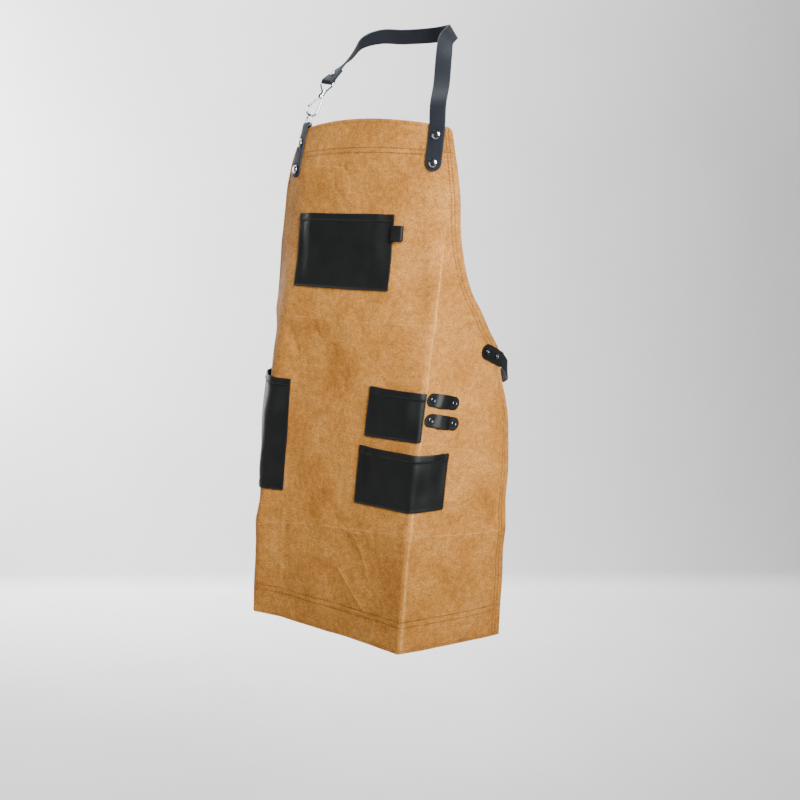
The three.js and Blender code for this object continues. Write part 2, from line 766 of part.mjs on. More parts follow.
// Closed loop of round wire through corners in the plane z = 0, each rounded by `bend`.
function closedLoop(corners, bend, wire, stepsPerBend, sides) {
  const points = corners.map(([x, y]) => new THREE.Vector3(x, y, 0));
  const count = points.length;
  const near = (from, to) => {
    const span = from.distanceTo(to);
    return from.clone().lerp(to, Math.min(bend / span, 0.48));
  };
  const spine = [];
  for (let i = 0; i < count; i += 1) {
    const corner = points[i];
    const start = near(corner, points[(i + count - 1) % count]);
    const end = near(corner, points[(i + 1) % count]);
    const round = new THREE.QuadraticBezierCurve3(start, corner, end);
    spine.push(...round.getPoints(stepsPerBend));
  }
  return ringTube(spine, wire, sides);
}

// Tube of round section along a closed loop of points in the plane z = 0.
function ringTube(spine, wire, sides) {
  const count = spine.length;
  const rows = [];
  for (let i = 0; i < count; i += 1) {
    const before = spine[(i + count - 1) % count];
    const after = spine[(i + 1) % count];
    const tangent = after.clone().sub(before).normalize();
    const out = new THREE.Vector3(tangent.y, -tangent.x, 0);
    for (let k = 0; k < sides; k += 1) {
      const angle = (2 * Math.PI * k) / sides;
      const p = spine[i].clone().addScaledVector(out, wire * Math.cos(angle));
      p.z += wire * Math.sin(angle);
      rows.push(p.x, p.y, p.z);
    }
  }
  const index = [];
  for (let i = 0; i < count; i += 1) {
    for (let k = 0; k < sides; k += 1) {
      const a = i * sides + k;
      const b = i * sides + ((k + 1) % sides);
      const c = ((i + 1) % count) * sides + k;
      const d = ((i + 1) % count) * sides + ((k + 1) % sides);
      index.push(a, b, d, a, d, c);
    }
  }
  const geometry = new THREE.BufferGeometry();
  geometry.setAttribute('position', new THREE.Float32BufferAttribute(rows, 3));
  geometry.setIndex(index);
  if (signedVolume(geometry) < 0) geometry.setIndex(index.slice().reverse());
  return geometry;
}

// Round wire along an open path of points in the plane z = 0, with flat ends.
function rod(points, wire, sides) {
  const section = new THREE.Shape();
  section.absarc(0, 0, wire, 0, 2 * Math.PI);
  const places = points.map(([x, y]) => new THREE.Vector3(x, y, 0));
  const path = new THREE.CatmullRomCurve3(places, false, 'centripetal');
  return new THREE.ExtrudeGeometry(section, {
    extrudePath: path,
    steps: Math.max(2, (points.length - 1) * 2),
    curveSegments: sides / 2,
  });
}

function drum(radius, low, high, sides) {
  return turned([[0, low], [radius, low], [radius, high], [0, high]], sides,
    new THREE.Vector3(), new THREE.Vector3(0, 1, 0));
}

function crossPin(radius, x, y, half, sides) {
  return turned([[0, -half], [radius, -half], [radius, half], [0, half]], sides,
    new THREE.Vector3(x, y, 0), new THREE.Vector3(0, 0, 1));
}

function buildRing() {
  const loop = [[-ringHalf, 0], [ringHalf, 0], [ringHalf, ringHeight * 0.62]];
  for (const degrees of [35, 60, 90, 120, 145]) {
    const a = THREE.MathUtils.degToRad(degrees);
    loop.push([ringHalf * 0.98 * Math.cos(a), ringHeight * (0.45 + 0.55 * Math.sin(a))]);
  }
  loop.push([-ringHalf, ringHeight * 0.62]);
  const geometry = closedLoop(loop, wireBend, ringWire, 1, 8);
  add('neck_ring', placed(geometry, ringBar, ringAcross, ringUp), chrome);
}

const pivot = { x: gatePivotAside, y: -hubHeight / 2 - clear - gatePivotDrop };
const bowCentre = { x: -hookBowAside, y: hookBowRadius - hookLength };
const nose = {
  x: bowCentre.x + hookBowRadius * Math.cos(THREE.MathUtils.degToRad(noseAngle)),
  y: bowCentre.y + hookBowRadius * Math.sin(THREE.MathUtils.degToRad(noseAngle)),
};

function buildHook() {
  const collarTop = -hubHeight / 2 - clear;
  const headBase = hubHeight / 2 + clear;
  const limb = [[1.2, collarTop - 3], [2.4, collarTop - 8]];
  for (let degrees = 0; degrees >= noseAngle - 360; degrees -= 23) {
    const a = THREE.MathUtils.degToRad(degrees);
    limb.push([bowCentre.x + hookBowRadius * Math.cos(a), bowCentre.y + hookBowRadius * Math.sin(a)]);
  }
  limb.push([nose.x, nose.y]);
  const cheek = gateWidth / 2 + clear;
  const cheeks = [-1, 1].map((side) => {
    const plate = new THREE.BoxGeometry(cheekWidth, cheekHeight, cheekWall);
    plate.translate(pivot.x + 0.6, pivot.y + 1.8, side * (cheek + cheekWall / 2));
    return plate;
  });
  const body = join([
    drum(collarRadius, collarTop - collarHeight, collarTop, 12),
    drum(studRadius, collarTop - 1, headBase + 1, 12),
    drum(studHeadRadius, headBase, headBase + studHeadHeight, 12),
    rod(limb, hookWire, 8),
    ...cheeks,
    crossPin(gatePinRadius, pivot.x, pivot.y, cheek + cheekWall / 2, 10),
  ]);
  add('hook_body', placed(body, hub, hookAcross, hookUp), chrome);
}

function buildGate() {
  const towards = new THREE.Vector2(nose.x - pivot.x, nose.y - pivot.y);
  const length = towards.length();
  const unit = towards.clone().normalize();
  const at = (share) => [pivot.x + unit.x * length * share, pivot.y + unit.y * length * share];
  const tip = 1 - (clear + 1) / length;
  const arm = rod([at(1.7 / length), at(0.5), at(tip)], gateWire, 8);
  const knuckle = crossPin(gateKnuckle, pivot.x, pivot.y, gateWidth / 2, 14);
  const bore = crossPin(gatePinRadius + clear, pivot.x, pivot.y, gateWidth, 12);
  add('hook_gate', placed(cut(join([arm, knuckle]), [bore]), hub, hookAcross, hookUp), chrome);
}

function buildEye() {
  const top = strapWidth / 2 + clear + eyeWire + wireRoom;
  const base = hubRadius - 0.4;
  const foldRoom = eyeWire + 2 * clear + strapWall + eyeWire + 1;
  const corners = [[-top, eyeHeight], [-top, eyeHeight - foldRoom], [-base, 0]];
  const mirrored = corners.map(([x, y]) => [-x, y]).reverse();
  const loop = closedLoop([...corners, ...mirrored], wireBend, eyeWire, 2, 8);
  const body = join([loop, drum(hubRadius, -hubHeight / 2, hubHeight / 2, 12)]);
  const bored = cut(body, [drum(studRadius + clear, -hubHeight, hubHeight, 12)]);
  add('hook_eye', placed(bored, hub, eyeAcross, hookUp), chrome);
}

// Leather tab over the top edge of the canvas, folded round the ring's bar.
function buildNeckTab() {
  const half = strapWidth / 2;
  const start = { across: -strapSide, down: tabEndDown };
  const length = tabEndDown - tabTop - 3;
  const ends = roundEnd(half);
  const straight = spaced([ends[3].at + 8, length], 13).map((at) => ({ at, half }));
  const front = layClear + strapWall / 2;
  const behind = -(2 * canvasWall + layClear + strapWall / 2);
  const place = (off) => [...ends, ...straight].map((stop) => ({ ...stop, off }));
  const up = clothRows(start, -90, place(front), strapWall);
  const down = clothRows(start, -90, place(behind), strapWall, true).reverse();
  const fold = foldRows(ringBar, ringAcross, ringOut, ringUp, ringWire, half, strapWall);
  const holes = tabRivets.map((at, k) => (
    rivetOnCloth(`neck_tab_rivet_${k + 1}`, -strapSide, tabEndDown - at, {
      front: layClear + strapWall,
      back: 2 * canvasWall + layClear + strapWall,
      cap: largeCap,
      finish: chrome,
    })
  ));
  add('neck_tab', cut(strip([...up, ...fold, ...down]), holes), strapLeather);
}

// Place on the flat cut of the neck strap's middle line, at a distance from its tip.
function alongStrap(at) {
  const lean = THREE.MathUtils.degToRad(strapLean);
  return { across: strapSide + Math.sin(lean) * at, down: strapEndDown - Math.cos(lean) * at };
}

// One strap from the left side of the bib, behind the neck, to the hook's eye.
function buildNeckStrap() {
  const half = strapWidth / 2;
  const off = layClear + strapWall / 2;
  const length = strapEndDown - tabTop - 2;
  const ends = roundEnd(half);
  const straight = spaced([ends[3].at + 8, length], 13).map((at) => ({ at, half }));
  const stops = [...ends, ...straight].map((stop) => ({ ...stop, off }));
  const onBib = clothRows(alongStrap(0), strapLean - 90, stops, strapWall);
  const leave = alongStrap(length);
  const knot = (row) => ({
    p: new THREE.Vector3(row.side * strapSide, -row.ahead * bibReach, -row.below * bibDrop),
    n: facing(row.turn, row.rise),
  });
  const nape = facing(napeTurn, napeRise);
  const [width, tip] = [eyeAcross.clone().negate(), hookUp.clone().negate()];
  const folded = foldRows(eyeBar, width, eyeFace, tip, eyeWire, half, strapWall);
  const gapAtBar = eyeWire + clear + strapWall / 2;
  const knots = [
    clothKnot(leave.across, leave.down, off),
    ...NECK_LEFT.map(knot),
    { p: nape.clone().multiplyScalar(strapWall / 2), n: nape },
    ...NECK_RIGHT.map(knot),
    { p: eyeBar.clone().addScaledVector(eyeFace, gapAtBar), n: eyeFace },
  ];
  const free = routeRows(knots, 20, eyeFoldLength, half, strapWall);
  const tail = tailRows(free, eyeFoldLength, bridge);
  const rows = [...onBib, ...free, ...folded, ...tail.rows];
  const solid = cut(strip(rows), [...neckHoles(), tail.hole, strapHole(free)]);
  add('neck_strap', solid, strapLeather);
  add('neck_fold_rivet', foldRivet(tail), chrome);
}

function neckHoles() {
  return strapRivets.map((at, k) => {
    const { across, down } = alongStrap(at);
    return rivetOnCloth(`neck_strap_rivet_${k + 1}`, across, down, {
      front: layClear + strapWall, back: 2 * canvasWall, cap: largeCap, finish: chrome,
    });
  });
}

// The adjusting hole where the strap turns over the shoulder.
function strapHole(rows) {
  let walked = 0;
  let i = 0;
  while (walked < strapHoleAlong) {
    i += 1;
    walked += rows[i].outer[1].distanceTo(rows[i - 1].outer[1]);
  }
  const axis = rows[i].outer[1].clone().sub(rows[i].inner[1]).normalize();
  return drill(rows[i].outer[1], axis, strapHoleRadius, strapWall * 2);
}

// A small rivet through a strap and its end, which is folded back behind it.
function foldRivet({ at, axis }) {
  return rivet(at, axis, strapWall / 2, strapWall * 1.5 + clear, smallCap);
}

// The strap's end, turned back along its own inner face from the bar that it is folded round.
function tailRows(main, length, apart) {
  const rows = [];
  let walked = 0;
  let hole = null;
  for (let i = main.length - 1; i > 0 && walked < length; i -= 1) {
    const middle = main[i].outer[1].clone().add(main[i].inner[1]).multiplyScalar(0.5);
    const before = main[i - 1].outer[1].clone().add(main[i - 1].inner[1]).multiplyScalar(0.5);
    walked += middle.distanceTo(before);
    const axis = main[i].outer[1].clone().sub(main[i].inner[1]).normalize();
    if (walked > apart * 2.2) {
      const back = (p) => p.clone().addScaledVector(axis, -apart);
      rows.push({ outer: main[i].inner.map(back), inner: main[i].outer.map(back) });
      if (walked < length * 0.7) hole = { at: middle, axis };
    }
  }
  return { rows, at: hole.at, axis: hole.axis, hole: drill(hole.at, hole.axis, postRadius + clear, 9) };
}

// Where a waist strap leaves the canvas, and the height at which it meets the buckle.
const waistSlope = THREE.MathUtils.degToRad(waistStrapSlope);
const waistRun = (halfWidth - waistStrapAcross) / Math.cos(waistSlope) + waistPastEdge;
const leaveAcross = waistStrapAcross + waistRun * Math.cos(waistSlope);
const leaveDown = waistStrapDown + waistRun * Math.sin(waistSlope);
const waistBackHeight = centreAt(leaveDown).z - waistStrapDrop;

function waistStrap(name, side) {
  const half = waistStrapWidth / 2;
  const off = layClear + strapWall / 2;
  const ends = roundEnd(half);
  const straight = spaced([ends[3].at + 6, waistRun], 12).map((at) => ({ at, half }));
  const stops = [...ends, ...straight].map((stop) => ({ ...stop, off }));
  const start = { across: side * waistStrapAcross, down: waistStrapDown };
  const angle = side > 0 ? waistStrapSlope : 180 - waistStrapSlope;
  const onBody = clothRows(start, angle, stops, strapWall);
  const first = clothKnot(side * leaveAcross, leaveDown, off);
  const spot = (row) => new THREE.Vector3(
    first.p.x * row.side,
    first.p.y + (waistBackReach - first.p.y) * row.back,
    first.p.z + (waistBackHeight - first.p.z) * row.drop,
  );
  const behind = new THREE.Vector3(0, 1, 0);
  const bar = new THREE.Vector3((side * buckleBarSpacing) / 2, waistBackReach, waistBackHeight);
  const overBar = bar.clone().addScaledVector(behind, buckleWire + clear + strapWall / 2);
  overBar.x += side;
  const places = [first.p, ...WAIST.map(spot), overBar];
  const knots = places.map((p, i) => {
    if (i === 0) return first;
    if (i === places.length - 1) return { p, n: behind };
    const run = places[i + 1].clone().sub(places[i - 1]);
    return { p, n: new THREE.Vector3(run.y, -run.x, 0).multiplyScalar(side).normalize() };
  });
  const free = routeRows(knots, 28, waistFoldLength, half, strapWall);
  const upright = new THREE.Vector3(0, 0, -side);
  const tip = new THREE.Vector3(-side, 0, 0);
  const fold = foldRows(bar, upright, behind, tip, buckleWire, half, strapWall);
  const tail = tailRows(free, waistFoldLength, bridge);
  const stack = { front: layClear + strapWall, back: canvasWall, cap: smallCap, finish: gunmetal };
  const holes = waistRivets.map((at, k) => {
    const across = start.across + side * at * Math.cos(waistSlope);
    const down = start.down + at * Math.sin(waistSlope);
    return rivetOnCloth(`${name}_rivet_${k + 1}`, across, down, stack);
  });
  const rows = [...onBody, ...free, ...fold, ...tail.rows];
  add(name, cut(strip(rows), [...holes, tail.hole]), blackLeather);
  add(`${name}_fold_rivet`, foldRivet(tail), gunmetal);
}

function buildWaist() {
  waistStrap('waist_strap_left', 1);
  waistStrap('waist_strap_right', -1);
}

// Plain frame that joins the two waist straps behind the back.
function buildBuckle() {
  const x = buckleBarSpacing / 2;
  const z = waistStrapWidth / 2 + clear + buckleWire + wireRoom;
  const loop = closedLoop([[-x, -z], [x, -z], [x, z], [-x, z]], wireBend, buckleWire, 2, 8);
  const place = new THREE.Vector3(0, waistBackReach, waistBackHeight);
  const [across, up] = [new THREE.Vector3(1, 0, 0), new THREE.Vector3(0, 0, 1)];
  add('waist_buckle', placed(loop, place, across, up), gunmetal);
}

// Canvas body: one wall, doubled on the inside at the top facing and the bottom hem.
function buildBody() {
  const outer = [];
  const inner = [];
  for (const row of bodyRows) {
    const doubled = row <= facingDepth || row >= hemTop;
    const thickness = doubled ? 2 * canvasWall : canvasWall;
    const half = halfWidthAt(row);
    const columns = columnsFor(half);
    const drop = (x) => row + bibCrown * (x / half) ** 2 * Math.max(1 - row / crownReach, 0);
    outer.push(columns.map((x) => onCloth(x, drop(x))));
    inner.push(columns.map((x) => onCloth(x, drop(x), -thickness)));
  }
  add('apron_body', cut(wall(outer, inner), canvasHoles), canvas);
}

buildPockets();
buildChestLoop();
buildToolLoops();
buildRing();
buildHook();
buildGate();
buildEye();
buildNeckTab();
buildNeckStrap();
buildWaist();
buildBuckle();
buildBody();

export default apron;
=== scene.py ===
"""Gardening apron in worn shape: waxed canvas, black leather pockets, leather straps and bright fittings.

Lengths are millimetres and turns are degrees, unless a name says otherwise. Meshes are written in
metres. The canvas is a surface over its flat cut: `across` runs from the centre line to the wearer's
left and `down` from the middle of the bib's top. Everything that is sewn or riveted to the canvas has
its place on that flat cut, so it follows the cloth.
"""

import json
import logging
import math
from dataclasses import dataclass, field
from enum import Enum
from typing import Any, Callable, Sequence

import bmesh
import bpy
import numpy as np
from bpy.types import Material, Node, NodeSocket, NodeTree, Object
from mathutils import Matrix, Vector


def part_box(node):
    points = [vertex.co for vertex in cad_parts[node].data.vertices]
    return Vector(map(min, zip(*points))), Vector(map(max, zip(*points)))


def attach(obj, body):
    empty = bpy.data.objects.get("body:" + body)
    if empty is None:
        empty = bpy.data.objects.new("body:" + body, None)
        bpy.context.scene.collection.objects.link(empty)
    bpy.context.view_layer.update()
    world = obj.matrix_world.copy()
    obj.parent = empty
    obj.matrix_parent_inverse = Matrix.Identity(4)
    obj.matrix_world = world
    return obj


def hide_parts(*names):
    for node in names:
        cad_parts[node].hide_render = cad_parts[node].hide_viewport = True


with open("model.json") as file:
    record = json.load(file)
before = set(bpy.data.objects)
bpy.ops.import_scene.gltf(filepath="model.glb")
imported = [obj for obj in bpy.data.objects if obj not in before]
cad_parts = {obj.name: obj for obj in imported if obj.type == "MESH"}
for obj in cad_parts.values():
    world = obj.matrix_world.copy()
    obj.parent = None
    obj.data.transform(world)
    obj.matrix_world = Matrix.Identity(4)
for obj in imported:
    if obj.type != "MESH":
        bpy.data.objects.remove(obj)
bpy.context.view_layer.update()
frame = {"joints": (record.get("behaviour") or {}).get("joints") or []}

LOG = logging.getLogger("apron")
Array = np.ndarray
Places = Callable[[Array, Array, float], Array]
METRES = 0.001
CLEAR = 0.3
LAY_CLEAR = 0.6
CANVAS_WALL = 1.2
PATCH_WALL = 1.5
STRAP_WALL = 2.8


class Hand(Enum):
    """A side of the wearer, with the sign of its X."""

    LEFT = 1
    RIGHT = -1


class Slot(Enum):
    """The record's material slots."""

    CANVAS = "canvas"
    POCKET_LEATHER = "pocket_leather"
    STRAP_LEATHER = "strap_leather"
    BRIGHT_METAL = "bright_metal"
    DARK_METAL = "dark_metal"


def table(columns: str, *rows: Sequence[float]) -> dict[str, Array]:
    """Short table with named columns.

    Args:
        columns: the columns' names, with spaces between them.
        rows: one sequence of numbers for each row.

    Returns:
        Each column's numbers under its name.
    """
    return dict(zip(columns.split(), np.array(rows, dtype=float).T))


# Drape of the canvas. down and ahead: shares of the apron's length. The rest are turns for the
# wearer's left and right: curl up to the crease, fold at the crease, wrap from there to the side
# edge. roll: how round the crease is, as a share of half the crease spacing.
DRAPE = table(
    "down ahead curl_left curl_right fold_left fold_right wrap_left wrap_right roll_left roll_right kink",
    (0, 0, 17, 20, 0, 24, 18, 19, 0.26, 0.26, 0),
    (0.08, 0.0069, 18, 3, 8, 29, 20, 20, 0.19, 0.26, 0),
    (0.1625, 0.0144, 19, 7, 18, 18, 21, 20, 0.14, 0.22, 0),
    (0.325, 0.0388, 17, 5, 41, 31, 24, 32, 0.05, 0.16, -1),
    (0.45, 0.0594, 12, 1, 59, 44, 26, 44, 0.04, 0.12, -3),
    (0.6, 0.0775, 3, -2, 58, 52, 21, 34, 0.03, 0.09, -8),
    (0.8, 0.1075, -3, 0, 61, 60, 15, 22, 0.03, 0.06, -11),
    (1, 0.13, -6, 4, 65, 68, 7, 14, 0.03, 0.04, -14),
)
# Side edge of the bib. out: share of the way from the bib's half width to the apron's.
ARMHOLE = table("down out", (0, 0), (0.274, 0.071), (0.52, 0.143), (0.712, 0.315), (0.863, 0.625), (1, 1))
# Pressed folds across the whole canvas. down: share of the length.
# left, crease, side: how far the fold's line is let down at both long creases and at the left side.
PRESSED = table(
    "down left crease side rise reach",
    (0.382, 0, 0, 0, 2.4, 34),
    (0.792, 16, -14, 0, 2.8, 30),
)
# Dents and swells, in shares of half the width and of the length.
DENTS = table(
    "across down wide tall rise",
    (0.71, 0.4, 0.13, 0.034, -4.5),
    (0.86, 0.56, 0.1, 0.05, 3),
    (0.28, 0.86, 0.16, 0.05, -3.5),
    (-0.2, 0.88, 0.18, 0.06, 3),
    (0.36, 0.245, 0.08, 0.06, -3),
    (-0.27, 0.425, 0.1, 0.035, -3.5),
    (0.06, 0.43, 0.14, 0.04, 3),
)
# Small creases on the flat cut, from one end to the other. bow: how far the middle stands aside.
# width: of the rubbed line; the ridge in the mesh is wider. wear: how pale the line is.
CREASES = table(
    "across_a down_a across_b down_b bow rise width wear",
    (229, 409, 260, 393, 7, 1.2, 2.3, 0.45),
    (18, 688, 88, 757, 3, 1.3, 2.1, 0.42),
    (-94.5, 590, -94.5, 799, 2, 1, 2.3, 0.1),
    (-115, 319, -89, 369, 5, -1.4, 3.6, 0.12),
    (-84, 757, -68, 799, 0, 0.5, 1.8, 0.3),
    (100, 758, 92, 799, -3, 0.6, 1.8, 0.34),
    (48, 634, 76, 690, -3, 1.2, 2.1, 0.3),
    (18, 626, 66, 632, 3, 1.4, 2.5, 0.37),
    (-6, 596, 16, 622, 2, -1.5, 3.1, 0.15),
    (76, 690, 84, 706, 1, 0.6, 1.7, 0.34),
    (160, 640, 186, 660, 2, 0.8, 1.8, 0.25),
    (212, 585, 262, 576, 6, -1, 2.5, 0.2),
    (196, 455, 214, 478, 8, 0.8, 2.1, 0.2),
    (230, 452, 262, 440, 7, 0.8, 2.1, 0.22),
    (-60, 322, -28, 352, 4, -1.2, 3.1, 0.15),
    (-20, 128, -14, 92, 2, 0.8, 2.7, 0.18),
    (-325, 650, -156, 650, 2, 0.0, 2.2, 0.22),
    (-156, 649, 156, 620, -2, 0.0, 2.0, 0.3),
    (156, 620, 322, 634, 2, 0.0, 2.4, 0.36),
    (-240, 306, 250, 306, 3, 0.0, 2.4, 0.2),
    (-112, 66, 104, 76, 3, 0.0, 2.6, 0.2),
)
# Long soft waves in the cloth: two wave lengths, a phase and a height.
RIPPLES = table(
    "across down phase rise",
    (210, 95, 0.4, 0.55),
    (-95, 160, 1.9, 0.4),
    (60, 75, 3.0, 0.22),
    (-38, 55, 5.1, 0.12),
)
# The neck strap beyond the canvas. turn and rise: where its outer face looks.
NECK_LEFT = table(
    "side ahead below turn rise",
    (1.01, 0.89, 0.885, 20, 18),
    (0.9, 0.733, 0.65, 26, 33),
    (0.786, 0.586, 0.343, 42, 34),
    (0.67, 0.44, 0.15, 66, 32),
    (0.62, 0.325, 0.071, 88, 31),
    (0.52, 0.183, 0.014, 112, 30),
    (0.344, 0.073, 0, 142, 28),
)
NECK_RIGHT = table(
    "side ahead below turn rise",
    (-0.344, 0.073, 0, -142, 28),
    (-0.53, 0.209, 0, -110, 30),
    (-0.64, 0.387, 0.086, -78, 32),
    (-0.67, 0.497, 0.236, -56, 33),
)
# A waist strap beyond the canvas, in shares of its way to the middle, to the back and down.
WAIST = table("side back drop", (0.985, 0.3, 0.3), (0.9, 0.62, 0.62), (0.68, 0.86, 0.84), (0.38, 0.98, 0.97))


def smooth(t: Array | float) -> Array:
    """Eases from 0 to 1: 3t squared less 2t cubed, with t held between 0 and 1."""
    x = np.clip(t, 0, 1)
    return x * x * (3 - 2 * x)


def unit(v: Array) -> Array:
    """Vectors of length one, along the last axis."""
    return v / np.linalg.norm(v, axis=-1, keepdims=True)


def walked(points: Array) -> Array:
    """Length along a line of points, at each of them."""
    return np.concatenate([[0], np.cumsum(np.linalg.norm(np.diff(points, axis=0), axis=-1))])


def through(rows: dict[str, Array], column: str, at: Array) -> Array:
    """Smooth curve through a table's column: cubic Hermite, with slopes taken from the neighbours.

    Args:
        rows: a table with a column named down.
        column: the column to read.
        at: places along down.

    Returns:
        The column's value at each place.
    """
    places, values = rows["down"], rows[column]
    last = len(places) - 1
    k = np.clip(np.searchsorted(places, at, side="left") - 1, 0, last - 1)
    before, after = np.maximum(np.arange(last + 1) - 1, 0), np.minimum(np.arange(last + 1) + 1, last)
    slope = (values[after] - values[before]) / (places[after] - places[before])
    span = places[k + 1] - places[k]
    s = (at - places[k]) / span
    start = (2 * s**3 - 3 * s**2 + 1) * values[k] + (s**3 - 2 * s**2 + s) * span * slope[k]
    return start + (3 * s**2 - 2 * s**3) * values[k + 1] + (s**3 - s**2) * span * slope[k + 1]


def spaced(marks: Sequence[float], step: float) -> Array:
    """Values through every mark, with equal steps of about `step` between two marks."""
    parts = [
        np.linspace(a, b, max(1, round((b - a) / step)), endpoint=False)
        for a, b in zip(marks[:-1], marks[1:])
    ]
    return np.concatenate([*parts, [marks[-1]]])


def facing(turn: float, rise: float) -> Array:
    """Direction that looks `turn` round from the front and `rise` above level."""
    t, r = math.radians(turn), math.radians(rise)
    return np.array([math.sin(t) * math.cos(r), -math.cos(t) * math.cos(r), math.sin(r)])


def leaning(tilt: float, toward: float) -> Array:
    """Direction that leans from upright by `tilt`, `toward` degrees from +Y to +X."""
    a, b = math.radians(tilt), math.radians(toward)
    return np.array([math.sin(a) * math.sin(b), math.sin(a) * math.cos(b), math.cos(a)])


@dataclass
class Cloth:
    """The canvas as a surface over its flat cut."""

    length: float = 800
    width: float = 656
    bib_width: float = 320
    bib_crown: float = 18
    crown_reach: float = 120
    armhole_depth: float = 365
    crease_spacing: float = 312
    bib_drop: float = 140
    bib_reach: float = 191
    kink_share: float = 0.63
    kink_width: float = 24
    spare: float = 20
    grid: Array = field(init=False, repr=False)

    def __post_init__(self) -> None:
        """Walks the cloth in steps of 1 mm across, at heights 1 mm apart.

        At each height the heading is the sum of curl, fold, wrap and kink, and the cloth's points are
        the running sums of its cosine and sine, set on the centre line.
        """
        downs = np.arange(0.0, self.length + self.spare)
        ahead = -self.bib_reach - through(DRAPE, "ahead", downs / self.length) * self.length
        fall = np.sqrt(np.maximum(1 - np.diff(ahead) ** 2, 0))
        height = -self.bib_drop - np.concatenate([[0], np.cumsum(fall)])
        left_x, left_y = self._walk(Hand.LEFT, downs)
        right_x, right_y = self._walk(Hand.RIGHT, downs)
        x = np.hstack([-right_x[:, :0:-1], left_x])
        y = np.hstack([right_y[:, :0:-1], left_y]) + ahead[:, None]
        z = np.broadcast_to(height[:, None], x.shape)
        self.grid = np.stack([x, y, z], axis=-1)

    @property
    def half_width(self) -> float:
        """Half of the apron's width."""
        return self.width / 2

    @property
    def half_crease(self) -> float:
        """From the centre line to each crease."""
        return self.crease_spacing / 2

    def _walk(self, hand: Hand, downs: Array) -> tuple[Array, Array]:
        """Running sums of the heading's cosine and sine, from the centre line to beyond the edge.

        Args:
            hand: the side to walk to.
            downs: heights to walk at.

        Returns:
            Both sums, a row for each height.
        """
        share = np.minimum(downs / self.length, 1.02)
        steps = np.arange(0.5, self.half_width + self.spare)
        side = hand.name.lower()
        curl, fold, wrap, roll = (
            through(DRAPE, f"{column}_{side}", share)[:, None] for column in ("curl", "fold", "wrap", "roll")
        )
        roll = roll * self.half_crease
        turn = curl * np.minimum(steps / self.half_crease, 1)
        turn = turn + fold * smooth((steps - self.half_crease + 2 * roll) / (2 * roll))
        turn = turn + wrap * np.maximum((steps - self.half_crease) / (self.half_width - self.half_crease), 0)
        if hand is Hand.RIGHT:
            kink_at = self.kink_share * self.half_crease
            bend = smooth((steps - kink_at) / self.kink_width + 0.5)
            turn = turn + through(DRAPE, "kink", share)[:, None] * bend
        heading = np.radians(turn)
        start = np.zeros((len(downs), 1))
        x = np.hstack([start, np.cumsum(np.cos(heading), axis=1)])
        y = np.hstack([start, np.cumsum(np.sin(heading), axis=1)])
        return x, y

    def half_at(self, down: Array) -> Array:
        """Half of the canvas's width at each place down.

        Args:
            down: places down the flat cut.

        Returns:
            Half widths in millimetres.
        """
        share = np.clip(down, 0, self.armhole_depth) / self.armhole_depth
        out = np.minimum(through(ARMHOLE, "out", share), 1)
        return (self.bib_width + (self.width - self.bib_width) * out) / 2

    def crowned(self, across: Array, row: Array) -> Array:
        """Place down of a row that follows the bib's crowned top: lower by the crown times the square
        of the share across, fading out over the crown's reach."""
        share = across / self.half_at(row)
        return row + self.bib_crown * share**2 * np.maximum(1 - row / self.crown_reach, 0)

    def plain(self, across: Array, down: Array) -> Array:
        """Points of the cloth without relief, read from the walked grid between its four nearest.

        Args:
            across, down: places on the flat cut.

        Returns:
            Points in millimetres.
        """
        rows, columns = self.grid.shape[:2]
        across, down = np.broadcast_arrays(across, down)
        r = np.clip(down, 0, rows - 1.001)
        c = np.clip(across + columns // 2, 0, columns - 1.001)
        i, j = r.astype(int), c.astype(int)
        t, s = (r - i)[..., None], (c - j)[..., None]
        g = self.grid
        high = g[i, j] * (1 - s) + g[i, j + 1] * s
        low = g[i + 1, j] * (1 - s) + g[i + 1, j + 1] * s
        return high * (1 - t) + low * t

    def normal(self, across: Array, down: Array) -> Array:
        """Direction out of the outer face: the cross product of steps down and across.

        Args:
            across, down: places on the flat cut.

        Returns:
            Directions of length one.
        """
        step = 1.5
        along = self.plain(across + step, down) - self.plain(across - step, down)
        low = np.minimum(down + step, self.length)
        fall = self.plain(across, low) - self.plain(across, np.maximum(low - 2 * step, 0))
        return unit(np.cross(fall, along))

    def relief(self, across: Array, down: Array) -> Array:
        """Height of the pressed folds, as tents, and of the dents, as bell curves.

        Args:
            across, down: places on the flat cut.

        Returns:
            Heights off the plain cloth.
        """
        across, down = np.broadcast_arrays(across, down)
        rise = np.zeros(np.shape(down))
        corners = [-self.half_crease, self.half_crease, self.half_width]
        for at, *bends, height, reach in zip(*PRESSED.values()):
            away = down - at * self.length - np.interp(across, corners, bends)
            rise = rise + height * np.maximum(1 - np.abs(away) / reach, 0)
        for place, at, wide, tall, height in zip(*DENTS.values()):
            x = (across / self.half_width - place) / wide
            z = (down / self.length - at) / tall
            rise = rise + height * np.exp(-x * x - z * z)
        return rise

    def creased(self, across: Array, down: Array) -> Array:
        """Height of the small creases: a bell curve of the distance to a bowed line.

        Args:
            across, down: places on the flat cut.

        Returns:
            Heights off the cloth.
        """
        rise = np.zeros(np.shape(down))
        for ax, ad, bx, bd, bow, height, width, _ in zip(*CREASES.values()):
            run = np.array([bx - ax, bd - ad])
            span = float(np.hypot(*run))
            run = run / span
            t = ((across - ax) * run[0] + (down - ad) * run[1]) / span
            arch = bow * 4 * t * (1 - t)
            away = (across - ax) * -run[1] + (down - ad) * run[0] - arch
            ends = smooth(t / 0.15) * smooth((1 - t) / 0.15)
            rise = rise + height * (np.exp(-((away / (2 * width)) ** 2)) * ends)
        return rise

